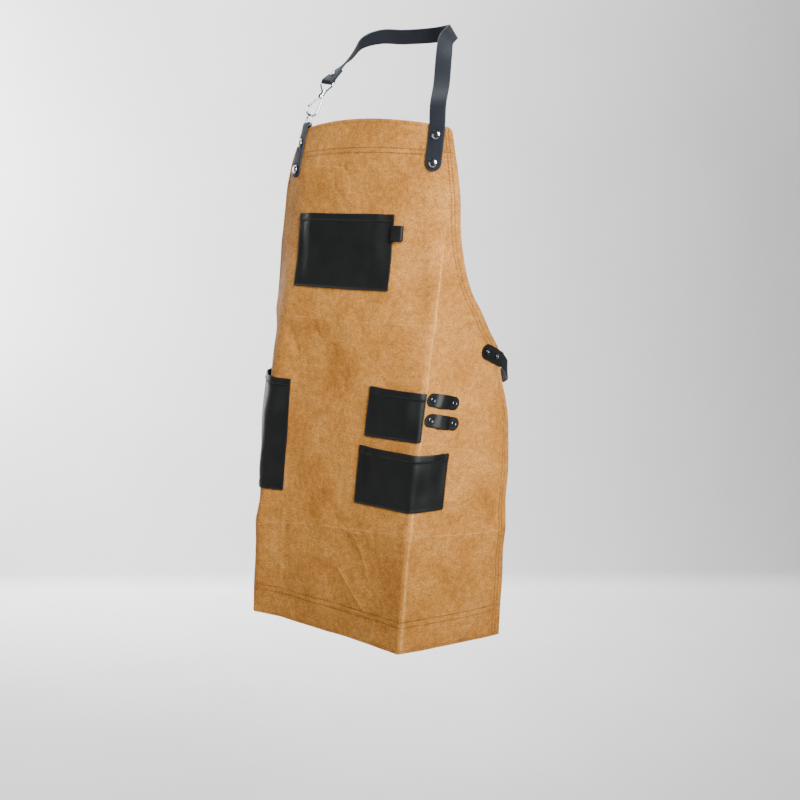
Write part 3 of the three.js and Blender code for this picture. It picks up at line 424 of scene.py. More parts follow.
    def fine(self, across: Array, down: Array) -> Array:
        """Height of ripples and small creases, which fade out towards the bib's top edge.

        Args:
            across, down: places on the flat cut.

        Returns:
            Heights off the cloth.
        """
        across, down = np.broadcast_arrays(across, down)
        rise = self.creased(across, down)
        for wide, tall, phase, height in zip(*RIPPLES.values()):
            rise = rise + height * np.sin(2 * np.pi * (across / wide + down / tall) + phase)
        return rise * smooth((down - 25) / 60)

    def surface(self, across: Array, down: Array, off: Array | float = 0.0, fine: bool = True) -> Array:
        """Points `off` outside the canvas's outer face.

        Args:
            across: places across the flat cut.
            down: places down the flat cut.
            off: distance out of the outer face.
            fine: whether the ripples and small creases count.

        Returns:
            Points in millimetres, with one more axis than the places.
        """
        across, down = np.broadcast_arrays(np.asarray(across, float), np.asarray(down, float))
        height = self.relief(across, down) + off
        if fine:
            height = height + self.fine(across, down)
        return self.plain(across, down) + self.normal(across, down) * height[..., None]

    def edge_distance(self, across: Array, down: Array) -> Array:
        """Distance on the flat cut from each place to the side edge.

        Args:
            across, down: places on the flat cut.

        Returns:
            Distances in millimetres.
        """
        v = np.arange(0.0, self.length + 1, 2)
        edge = np.stack([self.half_at(v), v], axis=-1)
        flat = np.stack([np.abs(across).ravel(), np.broadcast_to(down, np.shape(across)).ravel()], axis=-1)
        nearest = [
            np.min(np.linalg.norm(part[:, None] - edge[None], axis=-1), axis=1)
            for part in np.array_split(flat, max(1, len(flat) // 4000))
        ]
        return np.concatenate(nearest).reshape(np.shape(across))

    def flat_area(self) -> float:
        """Area of the flat cut in square metres."""
        v = np.arange(0.0, self.length + 1)
        return float(np.trapz(2 * self.half_at(v), v)) * METRES**2


@dataclass
class Shape:
    """Points in millimetres, polygons over them, and what each point carries."""

    points: Array
    polygons: list[Array]
    uv: Array
    values: dict[str, Array] = field(default_factory=dict)

    @staticmethod
    def joined(shapes: Sequence["Shape"]) -> "Shape":
        """One shape that holds several, side by side.

        Args:
            shapes: what it holds.

        Returns:
            The new shape.
        """
        offsets = np.cumsum([0] + [len(s.points) for s in shapes])
        polygons = [p + o for s, o in zip(shapes, offsets) for p in s.polygons]
        return Shape(
            np.concatenate([s.points for s in shapes]),
            polygons,
            np.concatenate([s.uv for s in shapes]),
            {key: np.concatenate([s.values[key] for s in shapes]) for key in shapes[0].values},
        )


def grid_faces(rows: int, columns: int, round_rows: bool = False, round_columns: bool = False) -> Array:
    """Quads over a grid of points that are numbered row by row.

    Args:
        rows: number of rows.
        columns: number of columns.
        round_rows: whether the last row joins the first.
        round_columns: whether the last column joins the first.

    Returns:
        Four point numbers for each quad.
    """
    i = np.arange(rows if round_rows else rows - 1)[:, None]
    j = np.arange(columns if round_columns else columns - 1)[None]
    a, b = i * columns + j, ((i + 1) % rows) * columns + j
    c, d = ((i + 1) % rows) * columns + (j + 1) % columns, i * columns + (j + 1) % columns
    return np.stack([a, b, c, d], axis=-1).reshape(-1, 4)


def skin(outer: Array, inner: Array, uv: Array, values: dict[str, Array], rim_steps: int = 2) -> Shape:
    """Closed wall between two grids of points, with a round rim.

    A point of the rim is the middle of the wall's edge, plus cos(a) times half the wall, plus sin(a)
    times the same length straight out of the edge, with a from 0 to 180 degrees.

    Args:
        outer: grid of points on the outer face.
        inner: grid of the same size on the inner face.
        uv: flat place of each grid point, in metres.
        values: named numbers for each grid point.
        rim_steps: rows of points round the rim.

    Returns:
        The closed shape.
    """
    rows, columns = outer.shape[:2]
    top, side = np.arange(columns - 1), np.arange(rows - 1)
    i = np.concatenate([0 * top, side, 0 * top + rows - 1, rows - 1 - side])
    j = np.concatenate([top, 0 * side + columns - 1, columns - 1 - top, 0 * side])
    inside = outer[np.clip(i, 1, rows - 2), np.clip(j, 1, columns - 2)]
    half = (outer[i, j] - inner[i, j]) / 2
    middle = (outer[i, j] + inner[i, j]) / 2
    thick = np.linalg.norm(half, axis=-1, keepdims=True)
    out = outer[i, j] - inside
    out = unit(out - half * np.sum(out * half, axis=-1, keepdims=True) / thick**2)
    angles = np.linspace(0, np.pi, rim_steps + 2)[1:-1]
    rims = [middle + math.cos(a) * half + math.sin(a) * thick * out for a in angles]
    count, ring = rows * columns, len(i)
    loops = [i * columns + j]
    loops += [2 * count + k * ring + np.arange(ring) for k in range(rim_steps)]
    loops += [count + i * columns + j]
    bands = [
        np.stack([a, np.roll(a, -1), np.roll(b, -1), b], axis=-1) for a, b in zip(loops[:-1], loops[1:])
    ]
    face = grid_faces(rows, columns)
    edge = i * columns + j

    def spread(grid: Array) -> Array:
        """Repeats what each grid point carries on the inner face and on the rim."""
        flat = grid.reshape(count, *grid.shape[2:])
        return np.concatenate([flat, flat, *[flat[edge]] * rim_steps])

    points = np.concatenate([outer.reshape(-1, 3), inner.reshape(-1, 3), *rims])
    polygons = [face, face[:, ::-1] + count, *bands]
    return Shape(points, polygons, spread(uv), {key: spread(v) for key, v in values.items()})


@dataclass(frozen=True)
class Section:
    """Cross-section of a strap: a flat band with round edges."""

    width: float
    thickness: float
    corner: float = 0.9
    faces: int = 8

    def outline(self) -> tuple[Array, Array]:
        """Places round the section: shares of the half width, and shares of the half thickness.

        Returns:
            Both shares, for each point of the outline.
        """
        half, thin = self.width / 2, self.thickness / 2
        corner = min(self.corner, thin)
        angles = np.radians(np.linspace(90, 0, 4))
        flat = 1 - corner / half
        top_share = np.linspace(-flat, flat, self.faces, endpoint=False)
        arc_share = flat + corner / half * np.cos(angles)
        arc_level = 1 - corner / thin + corner / thin * np.sin(angles)
        share = np.concatenate([top_share, arc_share, arc_share[::-1][1:]])
        level = np.concatenate([np.ones(self.faces), arc_level, -arc_level[::-1][1:]])
        return np.concatenate([share, -share]), np.concatenate([level, -level])


def sweep(rings: Array, along: Array, share: Array, half: Array) -> Shape:
    """Closed strap through rings of points, with a flat cap at each end.

    Args:
        rings: one ring of points for each place along the strap.
        along: length along the strap at each ring.
        share: share of the half width at each point of a ring.
        half: half width at each ring.

    Returns:
        The closed shape. Its value `rim` is the distance to the strap's edge in metres.
    """
    rows, count = rings.shape[:2]
    caps = [np.arange(count)[None, ::-1], (rows - 1) * count + np.arange(count)[None]]
    side = half[:, None] * share[None]
    uv = np.stack([np.broadcast_to(along[:, None], side.shape), side], axis=-1).reshape(-1, 2) * METRES
    rim = (half[:, None] - np.abs(side)).ravel() * METRES
    polygons = [grid_faces(rows, count, round_columns=True), *caps]
    return Shape(rings.reshape(-1, 3), polygons, uv, {"rim": rim})


def tube(spine: Array, wire: Array | float, sides: int = 16, closed: bool = False) -> Shape:
    """Round wire along a line of points in the plane z = 0.

    A point is the spine's, plus cos(a) times the wire's radius sideways, plus sin(a) times it up.

    Args:
        spine: points along the wire.
        wire: radius, for the whole wire or at each point.
        sides: points round the wire.
        closed: whether the wire's end joins its start.

    Returns:
        The closed shape.
    """
    if closed:
        run = np.roll(spine, -1, axis=0) - np.roll(spine, 1, axis=0)
    else:
        run = np.gradient(spine, axis=0)
    run = unit(run)
    out = np.stack([run[:, 1], -run[:, 0], np.zeros(len(run))], axis=-1)
    angle = 2 * np.pi * np.arange(sides) / sides
    radius = np.broadcast_to(np.asarray(wire, float), (len(spine),))[:, None, None]
    up = np.array([0.0, 0.0, 1.0])
    ring = out[:, None] * np.cos(angle)[None, :, None] + up * np.sin(angle)[None, :, None]
    points = (spine[:, None] + radius * ring).reshape(-1, 3)
    polygons = [grid_faces(len(spine), sides, round_rows=closed, round_columns=True)]
    if not closed:
        last = (len(spine) - 1) * sides
        polygons += [np.arange(sides)[None, ::-1], last + np.arange(sides)[None]]
    return Shape(points, polygons, np.zeros((len(points), 2)))


def lathe(profile: Sequence[tuple[float, float]], base: Array, axis: Array, around: int = 40) -> Shape:
    """Solid of revolution: each profile point (radius, height) becomes a circle round the axis.

    Args:
        profile: radii and heights, from one end of the axis to the other.
        base: point on the axis at height 0.
        axis: direction of the axis.
        around: points in a circle.

    Returns:
        The closed shape, with a small flat cap at each end.
    """
    helper = np.array([0.0, 0.0, 1.0]) if abs(axis[2]) < 0.9 else np.array([1.0, 0.0, 0.0])
    first = unit(np.cross(axis, helper))
    second = np.cross(axis, first)
    rows = np.array(profile, dtype=float)
    angle = 2 * np.pi * np.arange(around) / around
    circle = first * np.cos(angle)[:, None] + second * np.sin(angle)[:, None]
    points = base + rows[:, 0, None, None] * circle + rows[:, 1, None, None] * axis
    caps = [np.arange(around)[None, ::-1], (len(rows) - 1) * around + np.arange(around)[None]]
    polygons = [grid_faces(len(rows), around, round_columns=True), *caps]
    return Shape(points.reshape(-1, 3), polygons, np.zeros((len(rows) * around, 2)))


def placed(shape: Shape, origin: Array, across: Array, up: Array) -> Shape:
    """A shape drawn in x and y, moved into the plane of two directions at a place."""
    basis = np.stack([across, up, np.cross(across, up)])
    return Shape(origin + shape.points @ basis, shape.polygons, shape.uv, shape.values)


def centripetal(knots: Array, t: Array) -> Array:
    """Centripetal Catmull-Rom curve through knots: each stretch is a cubic whose end slopes come from
    the knots' spacing to the power of one half.

    Args:
        knots: points that the curve passes through.
        t: places along the curve, from 0 to 1.

    Returns:
        A point for each place.
    """
    last = len(knots) - 1
    padded = np.concatenate([[2 * knots[0] - knots[1]], knots, [2 * knots[-1] - knots[-2]]])
    k = np.minimum((t * last).astype(int), last - 1)
    w = (t * last - k)[:, None]
    a, b, c, d = (padded[k + n] for n in range(4))
    gap = np.sqrt(np.linalg.norm(np.diff(padded, axis=0), axis=-1))
    g0, g1, g2 = (gap[k + n][:, None] for n in range(3))
    leave = ((b - a) / g0 - (c - a) / (g0 + g1) + (c - b) / g1) * g1
    reach = ((c - b) / g1 - (d - b) / (g1 + g2) + (d - c) / g2) * g1
    curve = b + leave * w + (-3 * b + 3 * c - 2 * leave - reach) * w**2
    return curve + (2 * b - 2 * c + leave + reach) * w**3


@dataclass
class Frames:
    """Places along a strap, each with the strap's sideways and outward directions."""

    centre: Array
    width: Array
    normal: Array

    def rings(self, section: Section) -> Array:
        """Points of the section at each place: sideways by its share, outward by its level.

        Args:
            section: the strap's cross-section.

        Returns:
            One ring of points for each place.
        """
        share, level = section.outline()
        side = self.width[:, None] * (share * section.width / 2)[None, :, None]
        out = self.normal[:, None] * (level * section.thickness / 2)[None, :, None]
        return self.centre[:, None] + side + out

    def part(self, chosen: Array) -> "Frames":
        """Some of the places."""
        return Frames(self.centre[chosen], self.width[chosen], self.normal[chosen])


def route(knots: Sequence[tuple[Array, Array]], step: float) -> Frames:
    """Frames along a smooth curve through knots that each hold a place and an outward direction.

    The curve is centripetal Catmull-Rom, read at equal lengths. The outward direction goes straight
    from one knot's to the next's and is squared to the curve.

    Args:
        knots: places with their outward directions.
        step: about how far apart the frames are.

    Returns:
        The frames.
    """
    places = np.array([p for p, _ in knots])
    normals = np.array([n for _, n in knots])
    t = np.linspace(0, 1, 2000)
    points = centripetal(places, t)
    length = walked(points)
    stops = np.linspace(0, length[-1], max(4, round(length[-1] / step)))
    at = np.interp(stops, length, t)
    centre = centripetal(places, at)
    delta = 1e-4
    ahead = centripetal(places, np.minimum(at + delta, 1))
    run = unit(ahead - centripetal(places, np.maximum(at - delta, 0)))
    place = at * (len(knots) - 1)
    k = np.minimum(place.astype(int), len(knots) - 2)
    share = (place - k)[:, None]
    normal = normals[k] * (1 - share) + normals[k + 1] * share
    normal = unit(normal - run * np.sum(normal * run, axis=-1, keepdims=True))
    return Frames(centre, np.cross(run, normal), normal)


def folded(bar: Array, width: Array, normal: Array, tip: Array, radius: float) -> Frames:
    """Half a turn round a bar, from the strap's outer side to its inner side.

    Args:
        bar: middle of the bar.
        width: the strap's sideways direction.
        normal: the strap's outward direction where it meets the bar.
        tip: where the fold points.
        radius: from the bar's middle to the strap's.

    Returns:
        The fold's frames.
    """
    angle = np.radians(np.linspace(0, 180, 13))[:, None]
    out = normal * np.cos(angle) + tip * np.sin(angle)
    return Frames(bar + out * radius, np.broadcast_to(width, out.shape), out)


def turned_back(main: Frames, apart: float, near: float, far: float) -> Frames:
    """The strap's end, lying behind its own inner face from `near` to `far` before the fold.

    Args:
        main: the strap before the fold.
        apart: how far the end lies behind it.
        near: where the end starts.
        far: where it stops.

    Returns:
        The end's frames.
    """
    back = main.part(np.arange(len(main.centre) - 1, -1, -1))
    at = walked(back.centre)
    kept = back.part((at > near) & (at < far))
    return Frames(kept.centre - kept.normal * apart, kept.width, -kept.normal)


@dataclass(frozen=True)
class Line:
    """Straight line on the flat cut: its start and its slope."""

    across: float
    down: float
    slope: float

    def at(self, along: float) -> tuple[Array, Array]:
        """Place on the flat cut at a distance along the line."""
        angle = math.radians(self.slope)
        return np.array(self.across + math.cos(angle) * along), np.array(self.down + math.sin(angle) * along)

    def rings(
        self, cloth: Cloth, at: Array, half: Array, off: Array, section: Section, behind: bool = False
    ) -> Array:
        """Rings of a strap that lies on the cloth along this line.

        Args:
            cloth: the canvas.
            at: distance along the line of each ring.
            half: half width of each ring.
            off: how far the strap's middle is off the canvas at each ring.
            section: the strap's cross-section.
            behind: whether the strap's outer face looks into the canvas.

        Returns:
            One ring of points for each place.
        """
        angle = math.radians(self.slope)
        share, level = section.outline()
        side = half[:, None] * share[None]
        across = self.across + math.cos(angle) * at[:, None] - math.sin(angle) * side
        down = self.down + math.sin(angle) * at[:, None] + math.cos(angle) * side
        sign = -1 if behind else 1
        return cloth.surface(across, down, off[:, None] + sign * level[None] * section.thickness / 2)


def round_end(radius: float) -> tuple[Array, Array]:
    """Places along and half widths of a strap's round end, from its tip: an arc of a circle."""
    angle = np.radians([6, 16, 28, 40, 54, 68, 80, 90])
    return radius * (1 - np.cos(angle)), radius * np.sin(angle)


def ringed_stops(radius: float, length: float, step: float, both: bool = False) -> tuple[Array, Array]:
    """Stops along a strap with a round end, or two: places along it and half widths.

    Args:
        radius: half of the strap's width.
        length: the strap's length.
        step: about how far apart the stops are.
        both: whether both ends are round.

    Returns:
        Places along the strap, and half widths.
    """
    at, half = round_end(radius)
    far = length - radius if both else length
    middle = spaced([radius, far], step)[1:]
    if not both:
        return np.concatenate([at, middle]), np.concatenate([half, np.full(len(middle), radius)])
    places = np.concatenate([at, middle, (length - at[::-1])[1:]])
    return places, np.concatenate([half, np.full(len(middle), radius), half[::-1][1:]])


def add_node(
    tree: NodeTree,
    kind: str,
    settings: dict[Any, Any] | None = None,
    links: dict[Any, NodeSocket] | None = None,
    output: int | str = 0,
) -> NodeSocket | None:
    """Adds a node with its settings and links.

    Args:
        tree: the material's node tree.
        kind: the node's type.
        settings: values for the node's own properties, for its inputs, or `stops` of a colour ramp.
        links: what feeds each input.
        output: the output to hand back, by its number or name.

    Returns:
        That output, or nothing where the node has none.
    """
    node = tree.nodes.new(kind)
    for key, value in (settings or {}).items():
        if key == "stops":
            elements = node.color_ramp.elements
            while len(elements) < len(value):
                elements.new(0.5)
            for element, (place, colour) in zip(elements, value):
                element.position = place
                element.color = colour
        elif isinstance(key, str) and hasattr(node, key):
            setattr(node, key, value)
        else:
            node.inputs[key].default_value = value
    for key, source in (links or {}).items():
        tree.links.new(source, node.inputs[key])
    return node.outputs[output] if node.outputs else None


def linear(hex_colour: str) -> tuple[float, float, float, float]:
    """An sRGB hex colour as linear numbers."""
    parts = [int(hex_colour[k : k + 2], 16) / 255 for k in (1, 3, 5)]
    return *(c / 12.92 if c <= 0.04045 else ((c + 0.055) / 1.055) ** 2.4 for c in parts), 1.0


def grey(value: float) -> tuple[float, float, float, float]:
    """A grey for a ramp's stop."""
    return value, value, value, 1.0


def new_finish(
    name: str, surface: dict[str, Any]
) -> tuple[Material, NodeTree, Node]:
    """A material with an empty tree but for its shader and output.

    Args:
        name: the material's name.
        surface: the shader's settings that are the same all over.

    Returns:
        The material, its tree and its shader.
    """
    material = bpy.data.materials.new(name)
    material.use_nodes = True
    tree = material.node_tree
    tree.nodes.clear()
    shader = add_node(tree, "ShaderNodeBsdfPrincipled", surface)
    add_node(tree, "ShaderNodeOutputMaterial", links={"Surface": shader})
    return material, tree, shader.node


def feed(shader: Node, sources: dict[str, NodeSocket]) -> None:
    """Links what feeds each of the shader's named inputs."""
    for name, source in sources.items():
        shader.id_data.links.new(source, shader.inputs[name])


@dataclass(frozen=True)
class WaxedCanvas:
    """Cotton duck soaked with wax: a plain weave under a dull, slightly greasy coat.

    The wax makes dark and pale clouds, cracks pale along every crease, and dulls the shine.
    """

    base: str = "#ae7535"
    deep: str = "#996429"
    pale: str = "#be8643"
    rubbed: str = "#d8a860"
    # seam: colour of the painted shade in the grooves along the stitched rows.
    seam: str = "#7a4a1c"
    # The real threads are 0.5 mm apart. They are drawn twice as coarse, so that they show.
    thread_spacing: float = 1.0
    grain: float = 2.6
    mottle: float = 9
    crumple: float = 34
    cloud: float = 70
    groove: float = 1.5
    edge_rows: tuple[float, float] = (8.0, 13.0)
    top_rows: tuple[float, float] = (42.5, 50.0)
    hem_rows: tuple[float, float] = (39.0, 47.5)
    brim_row: float = 4.0

    def material(self) -> Material:
        """Builds the material: clouds, grain, rubbed creases, seam grooves with painted shade, and weave.

        Returns:
            The material, which follows the flat cut.
        """
        material, tree, shader = new_finish("waxed_canvas", {"IOR": 1.45, "Specular IOR Level": 0.14})
        flat = add_node(tree, "ShaderNodeUVMap", {"uv_map": "flat"})
        cloud, grain, mottle, crumple = (
            add_node(
                tree,
                "ShaderNodeTexNoise",
                {"Scale": 1 / (size * METRES), "Detail": detail, "Roughness": rough, "Distortion": bent},
                {"Vector": flat},
            )
            for size, detail, rough, bent in (
                (self.cloud, 5.0, 0.6, 0.4),
                (self.grain, 4.0, 0.72, 0.0),
                (self.mottle, 3.0, 0.6, 0.0),
                (self.crumple, 2.0, 0.5, 0.8),
            )
        )
        tones = [(0.28, linear(self.deep)), (0.5, linear(self.base)), (0.74, linear(self.pale))]
        colour = add_node(tree, "ShaderNodeValToRGB", {"stops": tones}, {0: cloud})
        for source, greys in (
            (grain, ((0.35, 0.66), (0.5, 1.0), (0.66, 1.4))),
            (mottle, ((0.34, 0.82), (0.66, 1.17))),
        ):
            stops = [(place, grey(value)) for place, value in greys]
            layer = add_node(tree, "ShaderNodeValToRGB", {"stops": stops}, {0: source})
            blend = {"data_type": "RGBA", "blend_type": "MULTIPLY", 0: 1.0}
            colour = add_node(tree, "ShaderNodeMix", blend, {6: colour, 7: layer}, output=2)
        wear = add_node(tree, "ShaderNodeAttribute", {"attribute_name": "wear"}, output="Fac")
        lines = self.crease_lines(tree, flat)
        wear = add_node(tree, "ShaderNodeMath", {"operation": "MAXIMUM"}, {0: wear, 1: lines})
        stops = [(0.3, grey(0.35)), (0.6, grey(1.0))]
        broken = add_node(tree, "ShaderNodeValToRGB", {"stops": stops}, {0: mottle})
        worn = add_node(tree, "ShaderNodeMath", {"operation": "MULTIPLY"}, {0: wear, 1: broken})
        groove = self.seam_groove_and_shade(tree)
        # Painted shade in the seam grooves: a tenth of the groove mask, mixed towards the seam colour.
        shaded = add_node(tree, "ShaderNodeMath", {"operation": "MULTIPLY", 1: 0.1}, {0: groove})
        for share, tint in ((worn, self.rubbed), (shaded, self.seam)):
            blend = {"data_type": "RGBA", 7: linear(tint)}
            colour = add_node(tree, "ShaderNodeMix", blend, {0: share, 6: colour}, output=2)
        rough = add_node(tree, "ShaderNodeMapRange", {"To Min": 0.62, "To Max": 0.82}, {"Value": mottle})
        normal = self.weave(tree, flat)
        for height, strength, depth, sunk in (
            (crumple, 0.4, 6.0, False),
            (grain, 0.5, 0.6, False),
            (mottle, 0.5, 1.2, False),
            (worn, 0.6, 0.8, False),
            (groove, 0.8, 0.7, True),
        ):
            bump = {"Strength": strength, "Distance": depth * METRES, "invert": sunk}
            normal = add_node(tree, "ShaderNodeBump", bump, {"Height": height, "Normal": normal})
        feed(shader, {"Base Color": colour, "Roughness": rough, "Normal": normal})
        return material

    def crease_lines(self, tree: NodeTree, flat: NodeSocket) -> NodeSocket:
        """Rubbed lines along the small creases.

        A mapping turns each crease onto the x axis, with its length and its width as units. The line
        bows by a parabola, falls off on both sides and fades out at both ends.

        Args:
            tree: the material's tree.
            flat: places on the flat cut.

        Returns:
            How far the wax is rubbed off, from 0 to 1.
        """
        worn = None
        for ax, ad, bx, bd, bow, _, width, rub in zip(*CREASES.values()):
            span = math.hypot(bx - ax, bd - ad)
            turn = {
                "vector_type": "TEXTURE",
                "Location": (ax * METRES, ad * METRES, 0),
                "Rotation": (0, 0, math.atan2(bd - ad, bx - ax)),
                "Scale": (span * METRES, width * METRES, 1),
            }
            local = add_node(tree, "ShaderNodeMapping", turn, {"Vector": flat})
            along, aside, _ = add_node(tree, "ShaderNodeSeparateXYZ", links={0: local}).node.outputs
            rest = add_node(tree, "ShaderNodeMath", {"operation": "SUBTRACT", 0: 1.0}, {1: along})
            arch = add_node(tree, "ShaderNodeMath", {"operation": "MULTIPLY"}, {0: along, 1: rest})
            bent = {"operation": "MULTIPLY_ADD", 1: -4 * bow / width}
            away = add_node(tree, "ShaderNodeMath", bent, {0: arch, 2: aside})
            away = add_node(tree, "ShaderNodeMath", {"operation": "ABSOLUTE"}, {0: away})
            fall = {"interpolation_type": "SMOOTHSTEP", "To Min": rub, "To Max": 0.0}
            line = add_node(tree, "ShaderNodeMapRange", fall, {0: away})
            ends = add_node(tree, "ShaderNodeMapRange", {"From Max": 0.13}, {0: arch})
            line = add_node(tree, "ShaderNodeMath", {"operation": "MULTIPLY"}, {0: line, 1: ends})
            if worn is not None:
                line = add_node(tree, "ShaderNodeMath", {"operation": "MAXIMUM"}, {0: worn, 1: line})
            worn = line
        return worn

    def weave(self, tree: NodeTree, flat: NodeSocket) -> NodeSocket:
        """Bump of the crossing threads: the product of two rows of waves.

        Args:
            tree: the material's tree.
            flat: places on the flat cut.

        Returns:
            The bumped normal.
        """
        scale = math.pi / (10 * self.thread_spacing * METRES)
        waves = [
            add_node(
                tree,
                "ShaderNodeTexWave",
                {"bands_direction": way, "Scale": scale, "Distortion": 0.6, "Detail": 1.0},
                {"Vector": flat},
                output="Fac",
            )
            for way in ("X", "Y")
        ]
        both = add_node(tree, "ShaderNodeMath", {"operation": "MULTIPLY"}, dict(enumerate(waves)))
        return add_node(tree, "ShaderNodeBump", {"Strength": 0.35, "Distance": 0.0002}, {"Height": both})

    def seam_groove_and_shade(self, tree: NodeTree) -> NodeSocket:
        """Dip along the stitched rows, used as a bump and as the mask of the painted shade in the grooves.

        The distance to the nearer of two rows is the size of (the distance to their middle, less half
        their spacing).

        Args:
            tree: the material's tree.

        Returns:
            One along the rows, and nothing a groove's width from them.
        """
        nearest = None
        for name, (near, far) in (("edge", self.edge_rows), ("top", self.top_rows), ("hem", self.hem_rows)):
            value = add_node(tree, "ShaderNodeAttribute", {"attribute_name": name}, output="Fac")
            for offset in ((near + far) / 2, (far - near) / 2):
                less = {"operation": "SUBTRACT", 1: offset * METRES}
                value = add_node(tree, "ShaderNodeMath", less, {0: value})
                value = add_node(tree, "ShaderNodeMath", {"operation": "ABSOLUTE"}, {0: value})
            if nearest is not None:
                value = add_node(tree, "ShaderNodeMath", {"operation": "MINIMUM"}, {0: nearest, 1: value})
            nearest = value
        fall = {"From Max": self.groove * METRES, "To Min": 1.0, "To Max": 0.0}
        smoothed = {"interpolation_type": "SMOOTHSTEP", **fall}
        return add_node(tree, "ShaderNodeMapRange", smoothed, {"Value": nearest})


@dataclass(frozen=True)
class DyedLeather:
    """Corrected-grain cowhide, dyed through and lightly finished: fine pebbles and a satin shine.

    Its cut or folded edges are rubbed a little paler than its face.
    """

    name: str
    face: str
    cloudy: str
    edge: str
    rough: tuple[float, float] = (0.44, 0.62)
    cloud: float = 38
    pebble: float = 1.3
    pore: float = 0.9
    edge_width: float = 1.6
    shine: float = 0.3

    def material(self) -> Material:
        """Builds the material: clouds, grain, paler edges and uneven shine.

        Returns:
            The material, which reads the distance to the edge from the attribute rim.
        """
        material, tree, shader = new_finish(self.name, {"IOR": 1.5, "Specular IOR Level": self.shine})
        place = add_node(tree, "ShaderNodeTexCoord", output="Object")
        cloud, fine = (
            add_node(
                tree,
                "ShaderNodeTexNoise",
                {"Scale": 1 / (size * METRES), "Detail": 3.0, "Roughness": rough},
                {"Vector": place},
            )
            for size, rough in ((self.cloud, 0.55), (self.pore, 0.6))
        )
        cells = {"Scale": 1 / (self.pebble * METRES), "Randomness": 0.9}
        pebbles = add_node(tree, "ShaderNodeTexVoronoi", cells, {"Vector": place}, output="Distance")
        stops = [(0.35, linear(self.face)), (0.7, linear(self.cloudy))]
        colour = add_node(tree, "ShaderNodeValToRGB", {"stops": stops}, {0: cloud})
        rim = add_node(tree, "ShaderNodeAttribute", {"attribute_name": "rim"}, output="Fac")
        fall = {"From Max": self.edge_width * METRES, "To Min": 0.75, "To Max": 0.0}
        edge = add_node(
            tree, "ShaderNodeMapRange", {"interpolation_type": "SMOOTHSTEP", **fall}, {"Value": rim}
        )
        blend = {"data_type": "RGBA", 7: linear(self.edge)}
        colour = add_node(tree, "ShaderNodeMix", blend, {0: edge, 6: colour}, output=2)
        low, high = self.rough
        rough = add_node(tree, "ShaderNodeMapRange", {"To Min": low, "To Max": high}, {"Value": cloud})
        below = {}
        for height, strength, depth in ((pebbles, 0.35, 0.15), (fine, 0.3, 0.1), (cloud, 0.25, 2.0)):
            bump = {"Strength": strength, "Distance": depth * METRES}
            below = {"Normal": add_node(tree, "ShaderNodeBump", bump, {"Height": height, **below})}
        feed(shader, {"Base Color": colour, "Roughness": rough, **below})
        return material


@dataclass(frozen=True)
class PlatedMetal:
    """Plated zinc or steel wire, polished before plating: sharp highlights with faint handling marks."""

    name: str
    colour: str
    rough: tuple[float, float] = (0.12, 0.24)
    smudge: float = 4

    def material(self) -> Material:
        """Builds the material: metal with smudges in its shine and a slight unevenness.

        Returns:
            The material.
        """
        material, tree, shader = new_finish(self.name, {"Metallic": 1.0, "Base Color": linear(self.colour)})
        place = add_node(tree, "ShaderNodeTexCoord", output="Object")
        marks = {"Scale": 1 / (self.smudge * METRES), "Detail": 3.0}
        smudge = add_node(tree, "ShaderNodeTexNoise", marks, {"Vector": place})
        low, high = self.rough
        rough = add_node(tree, "ShaderNodeMapRange", {"To Min": low, "To Max": high}, {"Value": smudge})
        bump = {"Strength": 0.12, "Distance": 0.0002}
        normal = add_node(tree, "ShaderNodeBump", bump, {"Height": smudge})
        feed(shader, {"Roughness": rough, "Normal": normal})
        return material


@dataclass(frozen=True)
class DullColour:
    """One dull colour that a soft noise darkens in patches.

    Bonded polyester thread, waxed, varies from stitch to stitch; its twist is too fine to draw. Flat
    emulsion on the studio's floor and wall is almost even.
    """

    name: str
    colour: str
    rough: float
    patch: float
    dark: float
    stops: tuple[float, float]

    def material(self) -> Material:
        """Builds the material: a ramp from the darkened colour to the colour.

        Returns:
            The material.
        """
        material, tree, shader = new_finish(self.name, {"Roughness": self.rough, "IOR": 1.5})
        place = add_node(tree, "ShaderNodeTexCoord", output="Object")
        patches = {"Scale": 1 / (self.patch * METRES), "Detail": 2.0}
        vary = add_node(tree, "ShaderNodeTexNoise", patches, {"Vector": place})
        tint = linear(self.colour)
        dull = (*(self.dark * c for c in tint[:3]), 1.0)
        ramp = {"stops": list(zip(self.stops, (dull, tint)))}
        feed(shader, {"Base Color": add_node(tree, "ShaderNodeValToRGB", ramp, {0: vary})})
        return material


@dataclass(frozen=True)
class Finish:
    """A material with the record's slot that it stands for."""

    material: Material
    slot: Slot


class Finishes:
    """Every finish of the apron, built once."""

    def __init__(self) -> None:
        """Builds the materials."""
        black = DyedLeather("black_pocket_leather", "#08090a", "#111313", "#191b1c")
        slate = DyedLeather(
            "slate_strap_leather", "#1c1f25", "#24282e", "#343a41", rough=(0.6, 0.75), shine=0.13, pebble=0.9
        )
        gunmetal = PlatedMetal("gunmetal_plate", "#66686c", rough=(0.2, 0.32))
        thread = {"rough": 0.6, "patch": 5, "dark": 0.7, "stops": (0.35, 0.65)}
        tan = DullColour("tan_thread", "#7d5022", **thread)
        jet = DullColour("black_thread", "#060708", **thread)
        self.canvas = Finish(WaxedCanvas().material(), Slot.CANVAS)
        self.pocket = Finish(black.material(), Slot.POCKET_LEATHER)
        self.strap = Finish(slate.material(), Slot.STRAP_LEATHER)
        self.chrome = Finish(PlatedMetal("chrome_plate", "#c4c6c9").material(), Slot.BRIGHT_METAL)
        self.gunmetal = Finish(gunmetal.material(), Slot.DARK_METAL)
        self.tan_thread = Finish(tan.material(), Slot.CANVAS)
        self.black_thread = Finish(jet.material(), Slot.POCKET_LEATHER)
        self.paint = DullColour("studio_paint", "#dedede", 0.9, 1000 / 3, 0.97, (0.4, 0.6)).material()


